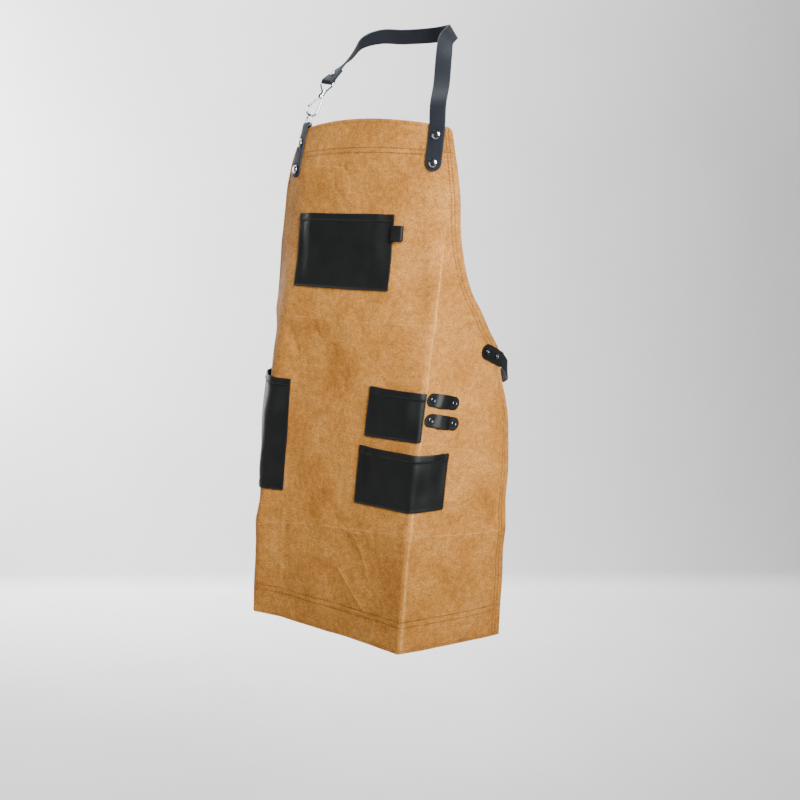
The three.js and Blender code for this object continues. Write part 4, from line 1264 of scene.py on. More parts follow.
def add_piece(
    name: str,
    shape: Shape,
    finish: Finish,
    replaces: Sequence[str] = (),
    body: str = "root",
    crisp: float = 38.0,
) -> Object:
    """Makes a shape into a Blender object that moves with a body.

    Args:
        name: the piece's name.
        shape: its points and polygons.
        finish: its finish.
        replaces: CAD nodes that it stands for.
        body: the body that it moves with.
        crisp: edges that turn by more than this are sharp.

    Returns:
        The new object.
    """
    mesh = bpy.data.meshes.new(name)
    polygons = [tuple(p) for group in shape.polygons for p in group.tolist()]
    mesh.from_pydata((shape.points * METRES).tolist(), [], polygons)
    work = bmesh.new()
    work.from_mesh(mesh)
    bmesh.ops.recalc_face_normals(work, faces=work.faces)
    work.to_mesh(mesh)
    work.free()
    corners = np.empty(len(mesh.loops), dtype=np.int32)
    mesh.loops.foreach_get("vertex_index", corners)
    layer = mesh.uv_layers.new(name="flat")
    layer.data.foreach_set("uv", shape.uv[corners].astype(np.float32).ravel())
    for key, values in shape.values.items():
        attribute = mesh.attributes.new(key, "FLOAT", "POINT")
        attribute.data.foreach_set("value", values.astype(np.float32).ravel())
    mesh.shade_smooth()
    mesh.set_sharp_from_angle(angle=math.radians(crisp))
    mesh.materials.append(finish.material)
    piece = bpy.data.objects.new(name, mesh)
    bpy.context.scene.collection.objects.link(piece)
    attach(piece, body)
    if replaces:
        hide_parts(*replaces)
    LOG.info("%s: %d faces", name, len(mesh.polygons))
    return piece


@dataclass
class Thread:
    """A row of stitches: their spacing, length and thickness."""

    pitch: float = 3.2
    length: float = 2.5
    radius: float = 0.32
    stitches: list[Shape] = field(default_factory=list)

    def sew(self, surface: Places, path: Array, off: float) -> None:
        """Adds running stitches along a line on a surface.

        Args:
            surface: gives points for places and a distance off.
            path: places on the flat cut, as rows of across and down.
            off: how far the thread's middle is off the surface.
        """
        places = walked(path)
        count = int(places[-1] / self.pitch)
        margin = (places[-1] - count * self.pitch + self.pitch - self.length) / 2
        start = margin + self.pitch * np.arange(count)
        ends = [
            np.stack([np.interp(at, places, path[:, k]) for k in (0, 1)], axis=-1)
            for at in (start, start + self.length)
        ]
        self.lay(surface, *ends, off)

    def whip(
        self, surface: Places, line: Array, over: tuple[float, float], off: float
    ) -> None:
        """Adds short stitches across an edge.

        Args:
            surface: gives points for places and a distance off.
            line: both ends of the edge on the flat cut.
            over: step across and down from a stitch's outer end to its inner end.
            off: how far the thread's middle is off the surface.
        """
        span = line[1] - line[0]
        count = int(np.hypot(*span) / self.pitch)
        outer = line[0] + span * ((np.arange(count) + 0.5) / count)[:, None]
        self.lay(surface, outer, outer + np.array(over), off)

    def lay(self, surface: Places, start: Array, end: Array, off: float) -> None:
        """Lays one stitch for each pair of places on the flat cut.

        A stitch is five rings of six points. It rises by half its radius in the middle and sinks at
        both ends.

        Args:
            surface: gives points for places and a distance off.
            start: where the stitches begin, as rows of across and down.
            end: where they end.
            off: how far the thread's middle is off the surface.
        """
        count = len(start)
        a, b = (surface(place[:, 0], place[:, 1], off) for place in (start, end))
        out = unit(surface(start[:, 0], start[:, 1], off + 1) - a)
        run = b - a
        side = unit(np.cross(run, out))
        share = np.array([0.0, 0.2, 0.5, 0.8, 1.0])
        size = np.array([0.45, 0.95, 1.05, 0.95, 0.45]) * self.radius
        lift = np.array([-0.9, 0.25, 0.5, 0.25, -0.9]) * self.radius
        angle = 2 * np.pi * np.arange(6) / 6
        middle = a[:, None] + run[:, None] * share[None, :, None] + out[:, None] * lift[None, :, None]
        circle = side[:, None, None] * np.cos(angle)[None, None, :, None]
        circle = circle + out[:, None, None] * np.sin(angle)[None, None, :, None]
        points = middle[:, :, None] + circle * size[None, :, None, None]
        first = np.arange(count)[:, None, None] * 30
        quads = (grid_faces(5, 6, round_columns=True)[None] + first).reshape(-1, 4)
        caps = [(np.arange(6)[None, ::-1] + first[:, 0]), (24 + np.arange(6)[None] + first[:, 0])]
        flat = points.reshape(-1, 3)
        self.stitches.append(Shape(flat, [quads, *caps], np.zeros((len(flat), 2))))

    def shape(self) -> Shape:
        """All the stitches in one shape."""
        return Shape.joined(self.stitches)


@dataclass
class Canvas:
    """The apron's body: one wall of canvas, doubled inside at the facing, the hem and the sides."""

    cloth: Cloth
    wall: float = CANVAS_WALL
    thread_lift: float = 0.12
    facing_depth: float = 50
    hem_depth: float = 44
    side_hem: float = 16
    corner: float = 9
    step: float = 3.9

    def rows(self) -> Array:
        """Places down of the grid's rows, closer together at the pressed folds and doubled edges.

        Returns:
            The places, in millimetres.
        """
        length = self.cloth.length
        marks = [0, 1.5, self.facing_depth, self.facing_depth + 1.5, length - self.hem_depth - 1.5]
        marks += [length - self.hem_depth, length - 1.5, length]
        for fold in PRESSED["down"] * length:
            marks += [fold - 3, fold, fold + 3]
        return spaced(sorted(marks), self.step)

    def columns(self, half: Array) -> Array:
        """Places across for each row: fixed up to the creases, and shares of the rest beyond them.

        Args:
            half: half of the canvas's width at each row.

        Returns:
            Places across, a row for each row of the grid.
        """
        crease = self.cloth.half_crease
        near = np.array([1.2, 2.4, 3.7, 5.2, 7, 9.5])
        centre = spaced([-crease, crease], self.step)
        second = CREASES["across_a"][2] + np.array([-2.4, -1.2, 0, 1.2, 2.4])
        centre = np.unique(np.concatenate([centre, -crease + near, crease - near, second]).round(3))
        flank = np.linspace(0, 1, 45)[1:]
        right = crease + (half[:, None] - crease) * flank[None]
        return np.concatenate([-right[:, ::-1], np.tile(centre, (len(half), 1)), right], axis=1)

    def build(self, finish: Finish) -> Object:
        """Args:
            finish: its finish.

        Returns:
            The canvas's object.
        """
        cloth = self.cloth
        rows = self.rows()
        half = cloth.half_at(rows)
        across = self.columns(half)
        level = np.broadcast_to(rows[:, None], across.shape)
        down = cloth.crowned(across, level)
        past = np.maximum(np.abs(across) - (half[:, None] - self.corner), 0)
        cut = self.corner - np.sqrt(np.maximum(self.corner**2 - past**2, 0))
        down = down + cut * np.maximum(1 - level / 60, 0)
        edge = cloth.edge_distance(across, level)
        doubled = np.maximum(
            np.maximum((level <= self.facing_depth), (level >= cloth.length - self.hem_depth)).astype(float),
            0.9 * smooth((self.side_hem - edge) / 1.5),
        )
        thickness = self.wall * (1 + doubled)
        outer = cloth.surface(across, down)
        inner = cloth.surface(across, down, -thickness)
        values = {
            "edge": edge * METRES,
            "top": level * METRES,
            "hem": (cloth.length - level) * METRES,
            "wear": self.wear(across, down),
        }
        shape = skin(outer, inner, np.stack([across, down], axis=-1) * METRES, values)
        piece = add_piece("canvas_body", shape, finish, ["apron_body"], crisp=55)
        cloth.flat_area()
        return piece

    def wear(self, across: Array, down: Array) -> Array:
        """How far the wax is rubbed pale: along the two long creases, and faintly along the kink.

        Args:
            across, down: places on the flat cut.

        Returns:
            Shares from 0 to 1.
        """
        cloth = self.cloth
        crease = np.exp(-(((np.abs(across) - cloth.half_crease) / 1.4) ** 2))
        low = smooth((down - 130) / 120) * np.where(across > 0, 0.68, 0.35)
        worn = crease * low
        kink = np.exp(-(((across + cloth.kink_share * cloth.half_crease) / 3) ** 2))
        return np.maximum(worn, 0.15 * kink * smooth((down - 450) / 200))

    def sew(self, thread: Thread, rows: WaxedCanvas) -> None:
        """Sews the facing, the hem and the side hems, two rows each.

        Args:
            thread: the thread to sew with.
            rows: finish whose seam grooves the rows follow.
        """
        cloth = self.cloth
        for row in (rows.brim_row, *rows.top_rows):
            half = float(cloth.half_at(np.array(row))) - rows.edge_rows[0]
            x = np.linspace(-half, half, 200)
            line = np.stack([x, cloth.crowned(x, np.full(200, row))], axis=-1)
            thread.sew(cloth.surface, line, self.thread_lift)
        for row in (rows.brim_row, *rows.hem_rows):
            x = np.linspace(-cloth.half_width + 2, cloth.half_width - 2, 400)
            line = np.stack([x, np.full(400, cloth.length - row)], axis=-1)
            thread.sew(cloth.surface, line, self.thread_lift)
        v = np.arange(2.0, cloth.length - 1, 2)
        edge = np.stack([cloth.half_at(v), cloth.crowned(cloth.half_at(v), v)], axis=-1)
        run = unit(np.gradient(edge, axis=0))
        for inset in rows.edge_rows:
            line = edge + np.stack([-run[:, 1], run[:, 0]], axis=-1) * inset
            for hand in Hand:
                thread.sew(cloth.surface, line * np.array([hand.value, 1]), self.thread_lift)


@dataclass(frozen=True)
class Pocket:
    """Leather patch sewn on three sides, standing off the canvas towards its open top."""

    name: str
    across: float
    down: float
    width: float
    height: float
    bulge: float
    pulled_in: float = 0
    sag: float = 0
    wall: float = PATCH_WALL
    seam: float = 5
    shoulder: float = 26
    band: float = 11
    whip_out: float = 2
    whip_in: float = 2.4
    step: float = 2.6

    def on(self, cloth: Cloth, x: Array, z: Array, off: Array | float) -> Array:
        """Points off the canvas, with the top's left corner pulled in and its right corner let down.

        Both moves fade out linearly towards the other side and the bottom.

        Args:
            cloth: the canvas.
            x, z: places on the flat cut, across and down.
            off: distance off the canvas.

        Returns:
            Points in millimetres.
        """
        share = (x - self.across) / self.width + 0.5
        high = 1 - (z - self.down) / self.height
        return cloth.surface(x + self.pulled_in * (1 - share) * high, z + self.sag * share * high, off)

    def stand_off(self, x: Array, z: Array) -> Array:
        """Gap to the canvas: the bulge, eased in from the sewn sides and growing towards the top.

        Args:
            x, z: places on the flat cut, across and down.

        Returns:
            Gaps in millimetres.
        """
        left, right = self.across - self.width / 2, self.across + self.width / 2
        bottom = self.down + self.height
        from_side = np.minimum(x - left, right - x) - self.seam
        up = np.maximum(bottom - self.seam - z, 0) / (self.height - self.seam)
        swell = np.sin(up * np.pi / 2) ** 0.8
        return CLEAR + self.bulge * smooth(from_side / self.shoulder) * swell

    def slack(self, x: Array, z: Array) -> Array:
        """Soft unevenness of the leather: a few long waves that vanish at the seams.

        Args:
            x, z: places on the flat cut, across and down.

        Returns:
            Heights off the smooth leather.
        """
        u, v = (x - self.across) / self.width, (z - self.down) / self.height
        inside = np.clip((0.5 - np.abs(u)) * 5, 0, 1) * np.clip((1 - v) * 4, 0, 1)
        wave = np.sin(7.3 * u + 4.1 * v + self.across) * 0.5 + np.sin(13 * u - 8 * v + self.down) * 0.25
        return wave * inside

    def build(self, cloth: Cloth, finish: Finish) -> Object:
        """Args:
            cloth: the canvas.
            finish: its finish.

        Returns:
            The pocket's object.
        """
        left, right = self.across - self.width / 2, self.across + self.width / 2
        bottom = self.down + self.height
        columns = spaced([left, left + 1.2, right - 1.2, right], self.step)
        fold = self.down + self.band
        rows = spaced([self.down, self.down + 1.2, fold - 0.8, fold, bottom - 1.2, bottom], self.step)
        x, z = np.meshgrid(columns, rows)
        off = self.stand_off(x, z)
        band = 0.6 * smooth((fold - z) / 0.8)
        outer = self.on(cloth, x, z, off + self.wall + band + self.slack(x, z))
        inner = self.on(cloth, x, z, off)
        sewn = np.minimum(np.minimum(x - left, right - x), bottom - z)
        values = {"rim": np.minimum(sewn, z - self.down) * METRES}
        shape = skin(outer, inner, np.stack([x, z], axis=-1) * METRES, values)
        piece = add_piece(f"{self.name}_leather", shape, finish, [self.name], crisp=50)
        return piece

    def sew(self, cloth: Cloth, thread: Thread) -> None:
        """Whips the sides and the bottom, and sews the band along its lower edge.

        Args:
            cloth: the canvas.
            thread: the thread to sew with.
        """
        left, right = self.across - self.width / 2, self.across + self.width / 2
        top, bottom = self.down + 1, self.down + self.height
        out, reach = self.whip_out, self.whip_out + self.whip_in

        def face(x: Array, z: Array, off: float) -> Array:
            """Points off the pocket's outer face."""
            return self.on(cloth, x, z, self.stand_off(x, z) + self.wall + self.slack(x, z) + off)

        for begin, end, over in (
            ((left - out, top), (left - out, bottom), (reach, 0)),
            ((right + out, top), (right + out, bottom), (-reach, 0)),
            ((left, bottom + out), (right, bottom + out), (0, -reach)),
        ):
            thread.whip(face, np.array([begin, end]), over, 0.2)
        x = np.linspace(left + 2, right - 2, 60)
        thread.sew(face, np.stack([x, np.full(60, self.down + self.band - 1.8)], axis=-1), 0.7)


POCKETS = (
    Pocket("chest_pocket", across=-20, down=144, width=186, height=114, bulge=4.5),
    Pocket("hip_pocket_upper", across=105, down=405, width=100, height=75, bulge=5, pulled_in=4, sag=4),
    Pocket("hip_pocket_lower", across=126, down=497, width=158, height=88, bulge=5.5, sag=5),
    Pocket("side_pocket", across=-160.5, down=407, width=115, height=183, bulge=5, sag=3),
)


@dataclass(frozen=True)
class ChestLoop:
    """Small folded leather loop, sewn beside the chest pocket."""

    start: float = 73.3
    down: float = 161
    reach: float = 19
    height: float = 22
    gap: float = 4
    wall: float = PATCH_WALL

    def build(self, cloth: Cloth, finish: Finish) -> Object:
        """Builds the loop: two flat layers with half a turn between them.

        Args:
            cloth: the canvas.
            finish: its finish.

        Returns:
            The loop's object.
        """
        radius = (self.gap + self.wall) / 2
        bend = self.reach - radius - self.wall / 2
        low = CLEAR + self.wall / 2
        angle = np.radians(np.linspace(-90, 90, 13))
        flat = spaced([0, bend], 2.5)[:-1]
        x = np.concatenate([flat, bend + radius * np.cos(angle), flat[::-1]])
        level = 0 * flat
        off = np.concatenate([level + low, low + radius + radius * np.sin(angle), level + low + 2 * radius])
        nx = np.concatenate([level, np.cos(angle), level])
        no = np.concatenate([level - 1, np.sin(angle), level + 1])
        z = spaced([self.down, self.down + 1, self.down + self.height - 1, self.down + self.height], 2.5)
        faces = [
            cloth.surface(
                self.start + x[:, None] + sign * nx[:, None] * self.wall / 2,
                z[None],
                off[:, None] + sign * no[:, None] * self.wall / 2,
            )
            for sign in (1, -1)
        ]
        along, deep = np.broadcast_arrays(x[:, None], z[None])
        rim = np.minimum(deep - self.down, self.down + self.height - deep) * METRES
        shape = skin(*faces, np.stack([along, deep], axis=-1) * METRES, {"rim": rim})
        return add_piece("chest_loop_leather", shape, finish, ["chest_loop"], crisp=50)


@dataclass(frozen=True)
class Rivet:
    """Double-cap rivet: a domed cap in front, a post and a flat washer behind."""

    radius: float
    height: float
    hollow: bool = False
    post: float = 1.8

    def shape(self, base: Array, axis: Array, front: float, back: float) -> Shape:
        """The rivet as a turned solid.

        Args:
            base: point on the canvas's outer face.
            axis: direction out of the cap.
            front: height of the leather that it holds in front.
            back: depth of what it holds behind.

        Returns:
            The closed shape. A hollow cap has a raised ring round a dip, as an eyelet rivet has.
        """
        r, h = self.radius, self.height
        top, bottom = front + LAY_CLEAR, -back - LAY_CLEAR
        washer = 0.85 * r
        profile = [(0.2, bottom - 1), (washer - 0.4, bottom - 1), (washer, bottom - 0.7), (washer, bottom)]
        profile += [(self.post, bottom), (self.post, top), (r - 0.3, top), (r, top + 0.25), (r, top + 0.5)]
        if self.hollow:
            ring = np.radians(np.linspace(20, 170, 8))
            profile += [
                (r * 0.74 + 0.26 * r * math.cos(a), top + h * 0.45 + 0.55 * h * math.sin(a)) for a in ring
            ]
            profile += [(r * 0.42, top + 0.35 * h), (0.2, top + 0.3 * h)]
        else:
            dome = np.radians(np.linspace(14, 88, 9))
            profile += [(r * math.cos(a), top + 0.5 + (h - 0.5) * math.sin(a)) for a in dome]
        return lathe(profile, base, axis)

    def row(
        self,
        cloth: Cloth,
        name: str,
        places: Sequence[tuple[Array, Array]],
        stack: tuple[float, float],
        finish: Finish,
    ) -> None:
        """Sets a rivet through the canvas at each place.

        Args:
            cloth: the canvas.
            name: name of the piece that they hold.
            places: where they stand on the flat cut.
            stack: thickness that they hold in front of and behind the canvas's outer face.
            finish: their finish.
        """
        for k, (across, down) in enumerate(places):
            shape = self.shape(cloth.surface(across, down), cloth.normal(across, down), *stack)
            add_piece(f"{name}_rivet_{k + 1}_cap", shape, finish, [f"{name}_rivet_{k + 1}"])


LARGE_RIVET = Rivet(6.75, 3)
SMALL_RIVET = Rivet(4.4, 1.6, hollow=True)


@dataclass(frozen=True)
class ToolLoops:
    """Two round-ended leather strips, riveted at both ends and arched between."""

    width: float = 20
    length: float = 63
    slope: float = 13
    arch: float = 3.4
    across: float = 188.5
    down: float = 423.5
    pitch: float = 30
    wall: float = PATCH_WALL

    def build(self, cloth: Cloth, finishes: Finishes) -> None:
        """Builds both loops and their rivets. Between the rivets a loop rises, runs level and falls.

        Args:
            cloth: the canvas.
            finishes: every finish.
        """
        radius = self.width / 2
        flat = radius + SMALL_RIVET.radius + 1
        run = np.array([math.cos(math.radians(self.slope)), math.sin(math.radians(self.slope))])
        section = Section(self.width, self.wall, corner=0.7)
        for k, name in enumerate(("tool_loop_upper", "tool_loop_lower")):
            start = np.array([self.across, self.down + k * self.pitch]) - run * self.length / 2
            line = Line(*start, self.slope)
            at, half = ringed_stops(radius, self.length, 2, both=True)
            t = np.clip((at - flat) / (self.length - 2 * flat), 0, 1)
            off = LAY_CLEAR + self.wall / 2 + self.arch * smooth(np.minimum(t, 1 - t) / 0.4)
            rings = line.rings(cloth, at, half, off, section)
            shape = sweep(rings, at, section.outline()[0], half)
            add_piece(f"{name}_leather", shape, finishes.pocket, [name], crisp=60)
            ends = [line.at(place) for place in (radius, self.length - radius)]
            stack = (LAY_CLEAR + self.wall, CANVAS_WALL)
            SMALL_RIVET.row(cloth, name, ends, stack, finishes.gunmetal)


def rounded_loop(corners: Sequence[tuple[float, float]], bend: float, steps: int = 6) -> Array:
    """Spine of a closed wire through corners: at each corner a quadratic curve starts and ends `bend`
    before and after it, or near the middle of a short side.

    Args:
        corners: places of the corners, in x and y.
        bend: how far a corner's curve reaches.
        steps: stretches in a curve.

    Returns:
        Points along the wire.
    """
    points = np.array([(x, y, 0.0) for x, y in corners])
    spine = []
    for before, corner, after in zip(np.roll(points, 1, axis=0), points, np.roll(points, -1, axis=0)):
        start, end = (
            corner + (other - corner) * min(bend / float(np.linalg.norm(other - corner)), 0.48)
            for other in (before, after)
        )
        t = np.linspace(0, 1, steps + 1)[:, None]
        spine.append((1 - t) ** 2 * start + 2 * t * (1 - t) * corner + t**2 * end)
    return np.concatenate(spine)


def joint(name: str) -> dict[str, Any]:
    """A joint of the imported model, by its name."""
    return next(j for j in frame["joints"] if j["name"] == name)


@dataclass
class NeckFittings:
    """Ring in the tab, and the swivel hook with its gate and eye.

    The hook's plane is spanned by `across` and `up`, which come from its two joints.
    """

    cloth: Cloth
    finishes: Finishes
    strap_width: float = 25
    strap_side: float = 131.5
    ring_wire: float = 1.5
    ring_height: float = 20
    ring_lean: tuple[float, float] = (17, 32)
    tab_climb: float = 9
    hook_wire: float = 1.8
    hook_length: float = 43.5
    bow_radius: float = 9
    bow_aside: float = 5
    nose_angle: float = 176
    eye_wire: float = 1.5
    eye_height: float = 18
    eye_turn: float = -12
    hub_radius: float = 4.6
    hub_height: float = 4
    wire_room: float = 0.5
    wire_bend: float = 1.8

    def __post_init__(self) -> None:
        """Works out the ring's and the hook's planes."""
        cloth = self.cloth
        self.tab_top = cloth.bib_crown * (self.strap_side / (cloth.bib_width / 2)) ** 2
        edge = np.array(-self.strap_side), np.array(self.tab_top)
        normal = cloth.normal(*edge)
        self.ring_up = leaning(*self.ring_lean)
        self.ring_bar = cloth.surface(*edge, fine=False) + self.ring_up * self.tab_climb - normal * 1.2
        across = unit(np.array([-normal[1], normal[0], 0]))
        self.ring_across = unit(across - self.ring_up * (across @ self.ring_up))
        self.ring_out = -np.cross(self.ring_up, self.ring_across)
        swivel, gate = joint("hook_swivel"), joint("hook_gate_hinge")
        self.hub = np.array(swivel["pos_m"]) / METRES
        self.up = unit(np.array(swivel["axis"]))
        out = unit(np.array(gate["axis"]))
        self.across = unit(np.cross(self.up, out))
        local = np.array(gate["pos_m"]) / METRES - self.hub
        self.pivot = np.array([local @ self.across, local @ self.up, 0])
        face = facing(self.eye_turn, 0)
        self.eye_face = unit(face - self.up * (face @ self.up))
        self.eye_across = np.cross(self.up, self.eye_face)
        self.eye_bar = self.hub + self.up * self.eye_height

    def build(self) -> None:
        """Builds the ring, the eye, the hook and the gate."""
        chrome = self.finishes.chrome
        add_piece("neck_ring_wire", self.ring(), chrome, ["neck_ring"])
        add_piece("hook_eye_metal", self.eye(), chrome, ["hook_eye"])
        add_piece("hook_body_metal", self.hook(), chrome, ["hook_body"], body="hook")
        add_piece("hook_gate_metal", self.gate(), chrome, ["hook_gate"], body="gate")

    def ring(self) -> Shape:
        """D-ring: a straight bar, short sides and a flattened arch.

        Returns:
            The ring in its place.
        """
        half = self.strap_width / 2 + CLEAR + self.ring_wire + self.wire_room
        side = (half, self.ring_height * 0.62)
        arch = [
            (half * 0.98 * math.cos(a), self.ring_height * (0.45 + 0.55 * math.sin(a)))
            for a in np.radians(np.linspace(30, 150, 13))
        ]
        spine = rounded_loop([(-half, 0), (half, 0), side, *arch, (-side[0], side[1])], self.wire_bend, 4)
        wire = tube(spine, self.ring_wire, closed=True)
        return placed(wire, self.ring_bar, self.ring_across, self.ring_up)

    def eye(self) -> Shape:
        """Strap eye: a wire frame that narrows to a drum, in which the hook's stud turns.

        Returns:
            The eye in its place.
        """
        top = self.strap_width / 2 + CLEAR + self.eye_wire + self.wire_room
        base = self.hub_radius - 0.4
        fold_room = 2 * self.eye_wire + 2 * CLEAR + STRAP_WALL + 1
        corners = [(-top, self.eye_height), (-top, self.eye_height - fold_room), (-base, 0)]
        mirrored = [(-x, y) for x, y in reversed(corners)]
        frame_wire = tube(rounded_loop([*corners, *mirrored], self.wire_bend), self.eye_wire, closed=True)
        drum = self.drum(self.hub_radius, -self.hub_height / 2, self.hub_height / 2)
        return placed(Shape.joined([frame_wire, drum]), self.hub, self.eye_across, self.up)

    @staticmethod
    def drum(radius: float, low: float, high: float, corner: float = 0.5) -> Shape:
        """Short cylinder with round edges, about the local y axis.

        Args:
            radius: its radius.
            low: height of its lower face.
            high: height of its upper face.
            corner: radius of its edges.

        Returns:
            The closed shape.
        """
        arc = np.radians([0, 30, 60, 90])
        base = [(radius - corner + corner * math.sin(a), low + corner - corner * math.cos(a)) for a in arc]
        lid = [(radius - corner + corner * math.cos(a), high - corner + corner * math.sin(a)) for a in arc]
        profile = [(0.2, low), *base, *lid, (0.2, high)]
        return lathe(profile, np.zeros(3), np.array([0.0, 1.0, 0.0]), 32)

    def turned(self, profile: Sequence[tuple[float, float]], around: int) -> Shape:
        """Solid turned about the gate's pin: radii and heights, and points in a circle."""
        return lathe(profile, self.pivot, np.array([0.0, 0.0, 1.0]), around)

    def limb(self) -> Array:
        """Points of the hook's wire: down from the collar, round the bow and up to the nose.

        Returns:
            Points in the hook's plane.
        """
        collar_top = -self.hub_height / 2 - CLEAR
        bow = np.array([-self.bow_aside, self.bow_radius - self.hook_length])
        turn = np.radians(np.append(np.arange(0, self.nose_angle - 360, -23), self.nose_angle - 360))
        arc = bow + self.bow_radius * np.stack([np.cos(turn), np.sin(turn)], axis=-1)
        points = np.concatenate([[(1.2, collar_top - 3), (2.4, collar_top - 8)], arc])
        return np.concatenate([points, np.zeros((len(points), 1))], axis=1)

    def hook(self) -> Shape:
        """Hook: stud with its head above the eye, a collar, two cheeks with the gate's pin, and a
        round limb that thins towards the nose.

        Returns:
            The hook in its place.
        """
        collar_top = -self.hub_height / 2 - CLEAR
        head = self.hub_height / 2 + CLEAR
        spine = centripetal(self.limb(), np.linspace(0, 1, 90))
        taper = self.hook_wire * (1 - 0.12 * smooth((np.linspace(0, 1, 90) - 0.75) / 0.25))
        cheeks = [self.cheek(side) for side in (-1, 1)]
        pin = self.turned([(0.1, -2.9), (0.9, -2.9), (1.1, -2.7), (1.1, 2.7), (0.9, 2.9), (0.1, 2.9)], 20)
        parts = [
            self.drum(3.6, collar_top - 4.4, collar_top),
            self.drum(2, collar_top - 1, head + 1),
            self.drum(3.4, head, head + 1.6),
            tube(spine, taper, 18),
            *cheeks,
            pin,
        ]
        return placed(Shape.joined(parts), self.hub, self.across, self.up)

    def cheek(self, side: int) -> Shape:
        """Rounded plate beside the gate's knuckle.

        Args:
            side: which side of the knuckle, 1 or -1.

        Returns:
            The closed plate.
        """
        inner, wall = 1.8, 1.1
        angle = np.radians(np.linspace(0, 360, 36, endpoint=False))
        # Superellipse of power four: a box of 5.2 by 7.6 with round corners.
        x, y = (
            half * np.sign(turn) * np.abs(turn) ** 0.5
            for half, turn in ((2.6, np.cos(angle)), (3.8, np.sin(angle)))
        )
        rings = []
        for depth, share in ((0, 0.9), (0.2, 1), (wall - 0.3, 1), (wall, 0.88)):
            z = np.full(len(angle), side * (inner + depth))
            ring = self.pivot[0] + 0.6 + share * x, self.pivot[1] + 1.8 + share * y, z
            rings.append(np.stack(ring, axis=-1))
        points = np.concatenate(rings)
        count = len(angle)
        caps = [np.arange(count)[None, ::-1], 3 * count + np.arange(count)[None]]
        return Shape(points, [grid_faces(4, count, round_columns=True), *caps], np.zeros((len(points), 2)))

    def gate(self) -> Shape:
        """Sprung gate: a knuckle on the pin and a straight arm to the hook's nose.

        Returns:
            The closed gate in its place.
        """
        bow = np.array([-self.bow_aside, self.bow_radius - self.hook_length])
        turn = math.radians(self.nose_angle)
        nose = bow + self.bow_radius * np.array([math.cos(turn), math.sin(turn)])
        towards = nose - self.pivot[:2]
        length = float(np.linalg.norm(towards))
        stops = np.array([1.7 / length, 0.2, 0.5, 0.8, 1 - 1.9 / length, 1 - 1.3 / length])
        spine = np.concatenate([self.pivot[:2] + towards * stops[:, None], np.zeros((6, 1))], axis=1)
        arm = tube(spine, np.array([1.5, 1.5, 1.5, 1.5, 1.45, 1.1]), 18)
        profile = [(1.25, -1.5), (2.1, -1.5), (2.3, -1.3), (2.3, 1.3), (2.1, 1.5), (1.25, 1.5)]
        knuckle = self.turned(profile, 28)
        return placed(Shape.joined([arm, knuckle]), self.hub, self.across, self.up)


